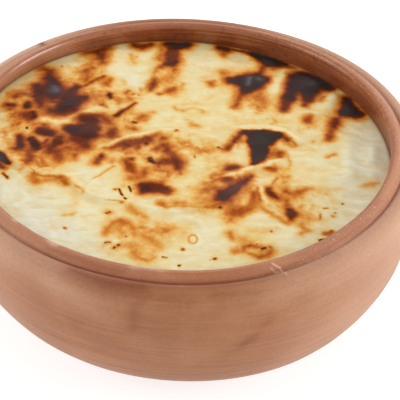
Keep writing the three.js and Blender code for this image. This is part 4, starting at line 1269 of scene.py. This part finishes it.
# Where the milk caramelised clear and amber
AMBER = (
    (1.0, 3, (19.6, -18, 1.5), (18.5, -23, 2), (15, -26, 2.5)),
    (1.0, 2.5, (-10.5, -11, 2)),
    (0.8, 2, (-9.6, -19, 1.2)),
    (0.7, 2, (-13.5, -7, 1.5)),
    (0.8, 2.5, (-46, 12, 2.5), (-49.5, 25, 1.5)),
    (0.6, 2, (-27, 36, 2)),
    (0.7, 2, (-27, 3, 2), (-36, 0, 2)),
    (0.6, 2, (23, 28, 2)),
    (0.7, 2, (25.4, -6.6, 1.2)),
    (0.8, 2, (-39, -13.5, 2)),
    (0.8, 2, (-2, 40, 2)),
    (0.6, 2, (-3, 31, 1.5)),
    (0.7, 2, (30, 44.5, 2)),
    (0.8, 2, (4, 14, 2)),
    (0.7, 2, (-15, 47, 2)),
    (0.7, 3, (-15, -34, 4)),
    (0.6, 2, (30, -26, 1)),
    (0.6, 2, (31.5, -17, 1.5)),
    (0.6, 2, (36, 18, 1.5), (43, 16, 1)),
)

# Painted sheen: grey highlights painted on the charred blisters
PAINTED_SHEEN = (
    (0.6, 0.4, (19.3, 34.8, 0.2), (19.6, 36.6, 0.3), (20.2, 38.6, 0.2)),
    (0.5, 0.5, (22.8, 38, 0.4)),
    (0.6, 0.5, (-36.9, 31.4, 0.3), (-36.2, 29.6, 0.4)),
    (0.4, 0.9, (-37, 29.4, 1.0)),
    (0.3, 1.0, (-51, -4.4, 0.8)),
    (0.25, 1.2, (38.5, 36.6, 0.8)),
    (0.2, 1.5, (16, -14, 0.8), (13, -17.6, 1.2)),
)

# A bubble that left a ring: x, y, half its width and half its length, strength. Then the width of
# its rim and the strength and spread of its middle, as shares of the ring
BUBBLE = (3.75, -38.0, 1.12, 1.75, 0.29)
BUBBLE_RIM = 0.32
BUBBLE_MIDDLE = 0.3
BUBBLE_SPREAD = 0.6

# Marks are laid out as the front shows them, so a raised point reads this much farther back for
# each millimetre of its height
LEAN = 1.3
# The share of a scorch's strength that the wider ring around it has
HALO = 0.36
# The share of a scorch that the cream of a fold hides
CREAM_HIDES = 0.6
# Random waves that move the marks: distance, shortest and longest wave, step of the seed
MARKS_MOVE = ((0.12, 3, 8, 0), (0.05, 1.2, 2.4, 10))
# Painted shade: the dark line where the skin meets the wall, and its width
WALL_SHADE_WIDTH = 0.6
# A hollow: how far off it is compared with the skin, and how deep it is when it counts fully
HOLLOW_REACH = 1.1
HOLLOW_DEPTH = 0.15


def ridge_height(x, y, ridge):
    """A rounded ridge over a bowed chord: full along its middle, fading at both ends."""
    x0, y0, x1, y1, bow, height, front, behind = ridge
    length = math.hypot(x1 - x0, y1 - y0)
    reach = ((x - x0) * (x1 - x0) + (y - y0) * (y1 - y0)) / length
    along = np.clip(reach / length, 0, 1)
    past_end = reach - along * length
    left = ((y - y0) * (x1 - x0) - (x - x0) * (y1 - y0)) / length
    aside = left - 4 * bow * along * (1 - along)
    width = np.where(aside > 0, behind, front)
    strength = 1 - (2 * along - 1) ** 4
    return height * strength * np.exp(-(aside ** 2 + past_end ** 2) / width ** 2)


def skin_height(x, y, inward):
    """Height of the skin over the pudding's level: crown, folds, pleats, blisters and swells."""
    free = smooth_step(inward, 0, SKIN_HELD)
    height = CROWN * (1 - (1 - inward / NECK_RADIUS) ** 2)
    height += sum(ridge_height(x, y, ridge) for ridge in FOLDS + PLEATS)
    for at_x, at_y, reach, top in BLISTERS:
        near = 1 - ((x - at_x) ** 2 + (y - at_y) ** 2) / reach ** 2
        height += top * np.maximum(near, 0) ** 2
    for top, turns_x, turns_y, start in SWELLS:
        height += top * np.sin(2 * np.pi * (x * turns_x + y * turns_y + start))
    return SKIN_CREST * np.tanh(free * height / SKIN_CREST)


def skin_wrinkles(x, y, inward):
    """The finer form on top of that: a lip along each fold, soft creases and a faint grain."""
    lips = sum(
        ridge_height(x, y, (*fold[:5], FOLD_LIP * min(fold[5], 1), *FOLD_LIP_WIDTHS))
        for fold in FOLDS
    )
    stretch_x, stretch_y = CREASE_STRETCH
    creases = 1 - np.abs(waves(x * stretch_x, y * stretch_y, *CREASE_WAVES))
    grain = GRAIN_DEPTH * waves(x, y, *GRAIN_WAVES)
    return smooth_step(inward, 0, SKIN_HELD) * (lips + CREASE_DEPTH * creases + grain)


def skin_hollow(x, y, z, inward):
    """How far a point lies under the mean of four points around it, from -1 on a top to 1."""
    beside = [
        skin_height(x + dx, y + dy, inward) + skin_wrinkles(x + dx, y + dy, inward)
        for dx, dy in ((HOLLOW_REACH, 0), (-HOLLOW_REACH, 0), (0, HOLLOW_REACH), (0, -HOLLOW_REACH))
    ]
    return np.tanh((sum(beside) / 4 + PUDDING_LEVEL - z) / HOLLOW_DEPTH)


def moved(start, x, y, seed):
    """A coordinate of the marks, moved about by random waves."""
    return start + sum(
        reach * waves(x, y, shortest, longest, seed + step)
        for reach, shortest, longest, step in MARKS_MOVE
    )


def bubble_ring(x, y):
    """The bubble's browned oval: a bell curve across its rim, and a fainter one over its middle."""
    middle_x, middle_y, half_wide, half_long, strength = BUBBLE
    from_rim = np.hypot((x - middle_x) / half_wide, (y - middle_y) / half_long) - 1
    middle = BUBBLE_MIDDLE * np.exp(-(from_rim + 1) ** 2 / BUBBLE_SPREAD)
    return strength * (bell(from_rim, 0, BUBBLE_RIM) + middle)


def skin_marks(x, y, height):
    """How strong each mark is on the skin, by name.

    A mark is a string of beads, read at the place where the front shows the point, with its edge
    moved by random waves. The cream of the folds hides its share of what lies under it.
    """
    seen_y = y + LEAN * height
    mark_x = moved(x, x, y, SKIN_SEED + 1)
    mark_y = moved(y, x, y, SKIN_SEED + 2) + LEAN * height
    crest = CREAM_HIDES * beads_sum(mark_x, mark_y, CREAM_FOLDS)
    scorch = beads_sum(mark_x, mark_y, SCORCHES, HALO) * (1 - crest)
    return {
        "scorch": np.maximum(scorch, bubble_ring(x, seen_y)),
        "toasted": beads_sum(mark_x, mark_y, TOASTED) * (1 - crest),
        "crest": crest,
        "milky": beads_sum(mark_x, mark_y, MILKY),
        "maroon": beads_sum(mark_x, mark_y, MAROON),
        "amber": beads_sum(mark_x, mark_y, AMBER),
        # Painted highlight on the charred blisters
        "painted_sheen": beads_sum(mark_x, mark_y, PAINTED_SHEEN),
    }


def disc_grid(cells):
    """A square grid drawn onto a unit disc so that every cell keeps the same area."""
    side = np.linspace(-1, 1, cells + 1)
    across, ahead = np.meshgrid(side, side)
    wide = np.abs(across) > np.abs(ahead)
    safe_across = np.where(across == 0, 1, across)
    safe_ahead = np.where(ahead == 0, 1, ahead)
    r = np.where(wide, across, ahead)
    turn = np.where(
        wide, np.pi / 4 * ahead / safe_across, np.pi / 2 - np.pi / 4 * across / safe_ahead
    )
    turn = np.where((across == 0) & (ahead == 0), 0, turn)
    return r * np.cos(turn), r * np.sin(turn)


def disc_faces(cells):
    """The grid's square faces, anticlockwise from above."""
    row, column = np.meshgrid(np.arange(cells), np.arange(cells), indexing="ij")
    corner = row * (cells + 1) + column
    return np.stack([corner, corner + 1, corner + cells + 2, corner + cells + 1], -1).reshape(-1, 4)


def edge_loop(cells):
    """Numbers of the grid's outer points, once round, anticlockwise from above."""
    number_of = np.arange((cells + 1) ** 2).reshape(cells + 1, cells + 1)
    return np.concatenate([
        number_of[0, :-1], number_of[:-1, -1], number_of[-1, :0:-1], number_of[:0:-1, 0]
    ])


def bake_pudding():
    """A round grid at the skin's height, with a side down to one point over the bowl's floor.

    The side follows the inner wall a gap away from it, and all of it goes out of round as the
    bowl does.
    """
    unit_x, unit_y = disc_grid(SKIN_CELLS)
    radius = NECK_RADIUS + INTO_WALL
    round_x, round_y = unit_x * radius, unit_y * radius
    inward = radius - np.hypot(round_x, round_y)
    x, y, _ = by_hand(round_x, round_y, np.zeros_like(round_x))
    height = skin_height(x, y, inward)
    z = PUDDING_LEVEL + height + skin_wrinkles(x, y, inward)

    loop = edge_loop(SKIN_CELLS)
    edge_x, edge_y = unit_x.ravel()[loop], unit_y.ravel()[loop]
    pudding_floor = FLOOR_HEIGHT + PUDDING_GAP
    side = wall_outline(
        FLOOR_RADIUS, pudding_floor, NECK_RADIUS - PUDDING_GAP, NECK_BOTTOM, steps=6
    )[::-1]
    rings = [by_hand(edge_x * r, edge_y * r, np.full(len(loop), h)) for r, h in side]
    skin = np.column_stack([x.ravel(), y.ravel(), z.ravel()])
    points = np.vstack([
        skin, *(np.column_stack(ring) for ring in rings), [[0, 0, pudding_floor]]
    ])

    turns = len(loop)
    levels = [loop] + [len(skin) + i * turns + np.arange(turns) for i in range(len(side))]
    walls = [
        np.column_stack([upper, lower, np.roll(lower, -1), np.roll(upper, -1)])
        for upper, lower in zip(levels, levels[1:])
    ]
    pole = np.full(turns, len(points) - 1)
    fan = np.column_stack([levels[-1], pole, np.roll(levels[-1], -1)])
    pudding = mesh_piece("pudding_skin", points, [disc_faces(SKIN_CELLS), *walls, fan])

    marks = skin_marks(x, y, height)
    # Painted shade in the hollows and painted light on the raised points go by how far a point lies
    # under the skin around it
    marks["hollow"] = skin_hollow(x, y, z, inward)
    # Painted shade where the skin meets the wall
    marks["wall_shade"] = bell(inward, 0, WALL_SHADE_WIDTH)
    hidden = np.zeros(len(points) - len(skin))
    for name, values in marks.items():
        stain(pudding, name, np.concatenate([values.ravel(), hidden]))
    return pudding


# Colours from unbaked to charred: how far it is burnt, then the rust and the maroon way to burn
BURNS = (
    (0.00, colour(224, 210, 157), colour(224, 210, 157)),
    (0.10, colour(224, 202, 139), colour(224, 202, 139)),
    (0.22, colour(222, 172, 88), colour(219, 168, 94)),
    (0.36, colour(204, 126, 44), colour(198, 122, 58)),
    (0.52, colour(168, 82, 20), colour(146, 70, 32)),
    (0.68, colour(117, 49, 12), colour(101, 44, 25)),
    (0.84, colour(76, 37, 24), colour(77, 41, 34)),
    (1.00, colour(56, 45, 42), colour(56, 44, 44)),
)

# Noise in the skin: scale, detail, roughness
COARSE_NOISE = (300.0, 1.0)
FINE_NOISE = (1000.0, 2.0, 0.6)
GRAINS_NOISE = (640.0, 2.0)

# Toasted ground comes out dappled: shares of the two noises, then from and to which noise, and
# how strong it is there. Grains move every burn up and down by a share
DAPPLE_COARSE = 0.75
DAPPLE_FINE = 0.25
DAPPLE = (0.36, 0.66, 0.55, 1.5)
GRAININESS = 1.1

# Patches in the cream and streaks across it: scale, detail, noise at which they begin and are
# full, amount. Then their colour. The streaks are this fine to a metre along x and y
CREAM_PATCHES = (
    ((110.0, 3.0, 0.42, 0.62, 0.6), colour(228, 224, 194)),
    ((170.0, 2.0, 0.50, 0.68, 0.5), colour(218, 188, 113)),
)
CREAM_STREAKS = (
    ((1.0, 3.0, 0.54, 0.70, 0.4), colour(234, 230, 208)),
    ((1.0, 3.0, 0.46, 0.30, 0.4), colour(216, 180, 100)),
)
STREAKS_ACROSS = (150, 520, 0)

# Marks, painted shade and painted light over the skin: stored number, strength, colour. A raised point
# is a hollow less than 0
MILKY_SKIN = ("milky", 0.85, colour(224, 222, 204))
OVER_CREAM = (
    # Painted shade in the hollows, then painted light on the raised points
    ("hollow", 0.6, colour(216, 176, 100)),
    ("hollow", -0.34, colour(236, 226, 190)),
    ("crest", 1.0, colour(233, 217, 172)),
)
# Painted shade along the wall
PAINTED_WALL_SHADE = ("wall_shade", 0.75, colour(128, 88, 54))
AMBER_TINT = (1.0, 0.8, 0.3, 1)
PAINTED_CHAR_SHEEN = ("painted_sheen", 1.0, colour(128, 118, 122))
PAINTED_SHEEN_ON_SCORCH = 0.8

# The cream is gone where the skin is burnt by one part in this many
CREAM_GONE = 4.0
CREAM_ROUGH = 0.42
CHAR_ROUGH = 0.5


def pudding_finish():
    """Baked skin: cream where it is hardly burnt, and otherwise a colour of the burns.

    The burn is the root of scorch squared plus dappled toasted ground squared, made grainy where
    it is neither cream nor coal.
    """
    material, tree, shader = finish_of(
        "baked_pudding", IOR=1.42, Specular_IOR_Level=0.07, Subsurface_Weight=0.1,
        Subsurface_Scale=0.0015, Subsurface_Radius=(1.0, 0.7, 0.4),
    )
    point = object_point(tree)
    coarse = speckle(tree, point, *COARSE_NOISE)
    fine = speckle(tree, point, *FINE_NOISE)
    grains = speckle(tree, point, *GRAINS_NOISE)
    scorch = number(tree, "scorch")

    dapple = maths(
        tree, "ADD", maths(tree, "MULTIPLY", coarse, DAPPLE_COARSE),
        maths(tree, "MULTIPLY", fine, DAPPLE_FINE),
    )
    ground = maths(tree, "MULTIPLY", number(tree, "toasted"), rescale(tree, dapple, *DAPPLE))
    squares = maths(
        tree, "ADD", maths(tree, "POWER", scorch, 2.0), maths(tree, "POWER", ground, 2.0)
    )
    level = maths(tree, "POWER", squares, 0.5, clamp=True)
    mottle = maths(tree, "MULTIPLY", maths(tree, "SUBTRACT", grains, 0.5), GRAININESS)
    open_share = maths(tree, "MULTIPLY", level, maths(tree, "SUBTRACT", 1.0, level))
    level = maths(tree, "ADD", level, maths(tree, "MULTIPLY", mottle, open_share), clamp=True)

    rust = ramp(tree, level, [(burnt, shade) for burnt, shade, _ in BURNS])
    maroon = ramp(tree, level, [(burnt, shade) for burnt, _, shade in BURNS])
    browned = blend_colours(tree, number(tree, "maroon"), rust, maroon)
    amber = maths(tree, "MULTIPLY", number(tree, "amber"), level)
    browned = blend_colours(tree, amber, browned, AMBER_TINT, "MULTIPLY")
    # Painted highlight: the grey sheen, laid over the scorched skin
    grey = laid_over(tree, browned, *PAINTED_CHAR_SHEEN)
    browned = blend_colours(tree, maths(tree, "MULTIPLY", scorch, PAINTED_SHEEN_ON_SCORCH), browned, grey)

    pale = laid_over(tree, browned, *MILKY_SKIN)
    across = point_maths(tree, "MULTIPLY", {0: point, 1: STREAKS_ACROSS})
    for where, kinds in ((point, CREAM_PATCHES), (across, CREAM_STREAKS)):
        for kind, shade in kinds:
            pale = blend_colours(tree, patches(tree, where, *kind), pale, shade)
    for mark in OVER_CREAM:
        pale = laid_over(tree, pale, *mark)

    burnt = maths(tree, "MULTIPLY", level, CREAM_GONE)
    keep = maths(tree, "SUBTRACT", 1.0, burnt, clamp=True)
    skin = laid_over(tree, blend_colours(tree, keep, browned, pale), *PAINTED_WALL_SHADE)
    rough = rescale(tree, level, 0, 1, CREAM_ROUGH, CHAR_ROUGH)
    finish_surface(tree, shader, skin, rough, fine, strength=0.35, depth=0.3)
    return material


pudding = bake_pudding()
pudding.data.materials.append(pudding_finish())
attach(pudding, "root")
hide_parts("rice_pudding")


# ---------------------------------------------------------------------------------------------
# Charred flecks: crumbs of skin and rice that burnt to coal under the grill and stuck where they
# lay. Each is a flat, lumpy grain, half sunk in the skin.

# A fleck's rings of points, how far up and down they go in degrees, and the points of a ring
FLECK_SEED = 23
FLECK_RINGS = 5
FLECK_RINGS_TO = 60
FLECK_TURNS = 10
# How flat and how lumpy a fleck is, and how far it is raised for each millimetre of half width
FLECK_FLAT = 0.6
FLECK_LUMPS = 0.16
FLECK_RAISED = 0.3
# In how many steps its place on the skin is found
LEAN_STEPS = 5

# x, y, half the length, half the width, turn of the length in degrees, how far it is burnt
FLECKS = (
    (-16.1, -17.6, 0.76, 0.14, -76, 1.0), (-15.5, -19.4, 0.63, 0.19, -72, 1.0),
    (-14.5, -21.0, 0.50, 0.18, -50, 1.0), (-13.3, -16.8, 0.67, 0.20, -74, 1.0),
    (-13.0, -17.9, 0.42, 0.13, -64, 1.0), (-17.1, -17.4, 0.29, 0.14, -70, 0.6),
    (-8.1, -3.5, 0.60, 0.28, -55, 1.0), (10.9, -24.2, 0.50, 0.27, 80, 1.0),
    (4.1, -1.6, 0.59, 0.10, -72, 0.7), (-19.0, -27.8, 0.35, 0.22, 40, 0.7),
    (-18.2, -27.0, 0.29, 0.18, 30, 0.6), (-18.8, -40.1, 0.22, 0.14, 10, 0.5),
    (-17.5, -40.1, 0.25, 0.14, 0, 0.5), (-15.4, -41.0, 0.29, 0.19, 30, 1.0),
    (-16.3, -42.0, 0.34, 0.21, 60, 1.0), (-13.7, -37.2, 0.25, 0.18, 0, 0.4),
    (-12.5, -34.8, 0.20, 0.12, 40, 0.3), (0.2, -48.7, 0.30, 0.21, 0, 1.0),
    (1.1, -42.0, 0.30, 0.22, 70, 0.6), (9.3, -45.9, 0.35, 0.24, 10, 0.6),
    (8.2, -46.3, 0.17, 0.11, 0, 0.4), (-3.8, -45.4, 0.27, 0.16, 10, 0.5),
    (-2.8, -45.5, 0.17, 0.10, 0, 0.4), (24.3, -33.8, 0.25, 0.18, 20, 0.35),
    (21.6, -41.2, 0.34, 0.21, 10, 1.0), (22.4, -41.0, 0.37, 0.24, 30, 1.0),
    (18.6, -39.7, 0.42, 0.14, 12, 0.6), (20.2, -39.4, 0.35, 0.13, 8, 0.6),
    (36.8, -37.2, 0.30, 0.21, 30, 1.0), (37.6, -36.8, 0.30, 0.19, 20, 1.0),
    (40.0, -33.4, 0.25, 0.16, 40, 0.6), (37.4, -27.5, 0.76, 0.12, 97, 0.3),
    (41.5, -25.7, 0.25, 0.18, 50, 0.3), (43.6, -21.7, 0.30, 0.19, 60, 0.3),
    (-43.2, 10.3, 0.50, 0.36, 70, 1.0), (-21.0, 28.4, 0.59, 0.18, -60, 1.0),
    (-20.2, 27.0, 0.42, 0.19, -70, 1.0), (-35.5, 42.6, 0.22, 0.13, 0, 0.6),
    (24.6, 17.2, 0.17, 0.11, 0, 0.3), (10.5, 3.0, 0.30, 0.19, -25, 0.7),
    (11.8, 2.1, 0.29, 0.10, -35, 0.5), (-47.2, -12.0, 0.76, 0.19, -62, 1.0),
    (8.6, -11.2, 0.25, 0.18, 20, 0.3), (-21.4, 22.0, 0.25, 0.16, 0, 0.5),
    (-13.0, 14.2, 0.42, 0.16, -10, 1.0), (-29.7, -34.3, 0.25, 0.16, 0, 0.4),
    (23.8, -40.6, 0.17, 0.11, 0, 0.4), (38.6, -23.6, 0.25, 0.11, 0, 0.4),
    (-12.3, 27.9, 0.18, 0.12, 0, 0.3), (-14.9, 30.3, 0.20, 0.12, 40, 0.3),
    (-1.3, 10.5, 0.29, 0.18, 20, 0.5),
)


def on_skin(x, y):
    """Points of the skin at places of the marks' layout, found by stepping back by the lean."""
    at_y = y
    for _ in range(LEAN_STEPS):
        inward = NECK_RADIUS + INTO_WALL - np.hypot(x, at_y) / out_of_round(np.arctan2(at_y, x))
        height = skin_height(x, at_y, inward)
        at_y = y - LEAN * height
    return np.stack([x, at_y, PUDDING_LEVEL + height + skin_wrinkles(x, at_y, inward)], -1)


def char_flecks():
    """Balls whose points lie nearer or farther at random, flattened, turned and laid on the skin."""
    draw = np.random.default_rng(FLECK_SEED)
    rise, turn = np.meshgrid(
        np.radians(np.linspace(-FLECK_RINGS_TO, FLECK_RINGS_TO, FLECK_RINGS)),
        np.linspace(0, 2 * np.pi, FLECK_TURNS, endpoint=False), indexing="ij",
    )
    ball = np.stack([np.cos(rise) * np.cos(turn), np.cos(rise) * np.sin(turn), np.sin(rise)], -1)
    ball = np.vstack([ball.reshape(-1, 3), [[0, 0, -1], [0, 0, 1]]])
    x, y, half_long, half_wide, heading, char = np.array(FLECKS).T
    size = np.stack([half_long, half_wide, FLECK_FLAT * half_wide], -1)
    lumpy = ball * (1 + FLECK_LUMPS * draw.standard_normal((len(FLECKS), len(ball), 1)))
    long, wide, thick = np.moveaxis(lumpy * size[:, None], -1, 0)
    ahead, aside = np.cos(np.radians(heading))[:, None], np.sin(np.radians(heading))[:, None]
    raised = thick + FLECK_RAISED * half_wide[:, None]
    turned = np.stack([long * ahead - wide * aside, long * aside + wide * ahead, raised], -1)
    points = turned + on_skin(x, y)[:, None]
    first = len(ball) * np.arange(len(FLECKS))[:, None, None]
    faces = [
        (first + part).reshape(-1, part.shape[1]) for part in turned_faces(FLECK_RINGS, FLECK_TURNS)
    ]
    flecks = mesh_piece("charred_flecks", points.reshape(-1, 3), faces)
    stain(flecks, "burnt", np.repeat(char, len(ball)))
    return flecks


# A fleck's lumps: scale and detail, then their colours where it is coal and where it is toasted
LUMPS_NOISE = (1700.0, 3.0)
COAL = ((0.32, colour(42, 28, 22)), (0.52, colour(80, 48, 26)), (0.70, colour(128, 80, 36)))
TOAST = ((0.35, colour(132, 82, 30)), (0.65, colour(192, 142, 70)))
LOW_ROUGH = 0.35
HIGH_ROUGH = 0.75


def char_finish():
    """Charred skin: lumpy, from toasted to coal by how far the fleck is burnt."""
    material, tree, shader = finish_of("charred_skin", IOR=1.45, Specular_IOR_Level=0.2)
    lumps = speckle(tree, object_point(tree), *LUMPS_NOISE)
    crumb = blend_colours(
        tree, number(tree, "burnt"), ramp(tree, lumps, TOAST), ramp(tree, lumps, COAL)
    )
    rough = rescale(tree, lumps, 0, 1, LOW_ROUGH, HIGH_ROUGH)
    finish_surface(tree, shader, crumb, rough, lumps, strength=0.6, depth=0.1)
    return material


flecks = char_flecks()
flecks.data.materials.append(char_finish())
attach(flecks, "root")
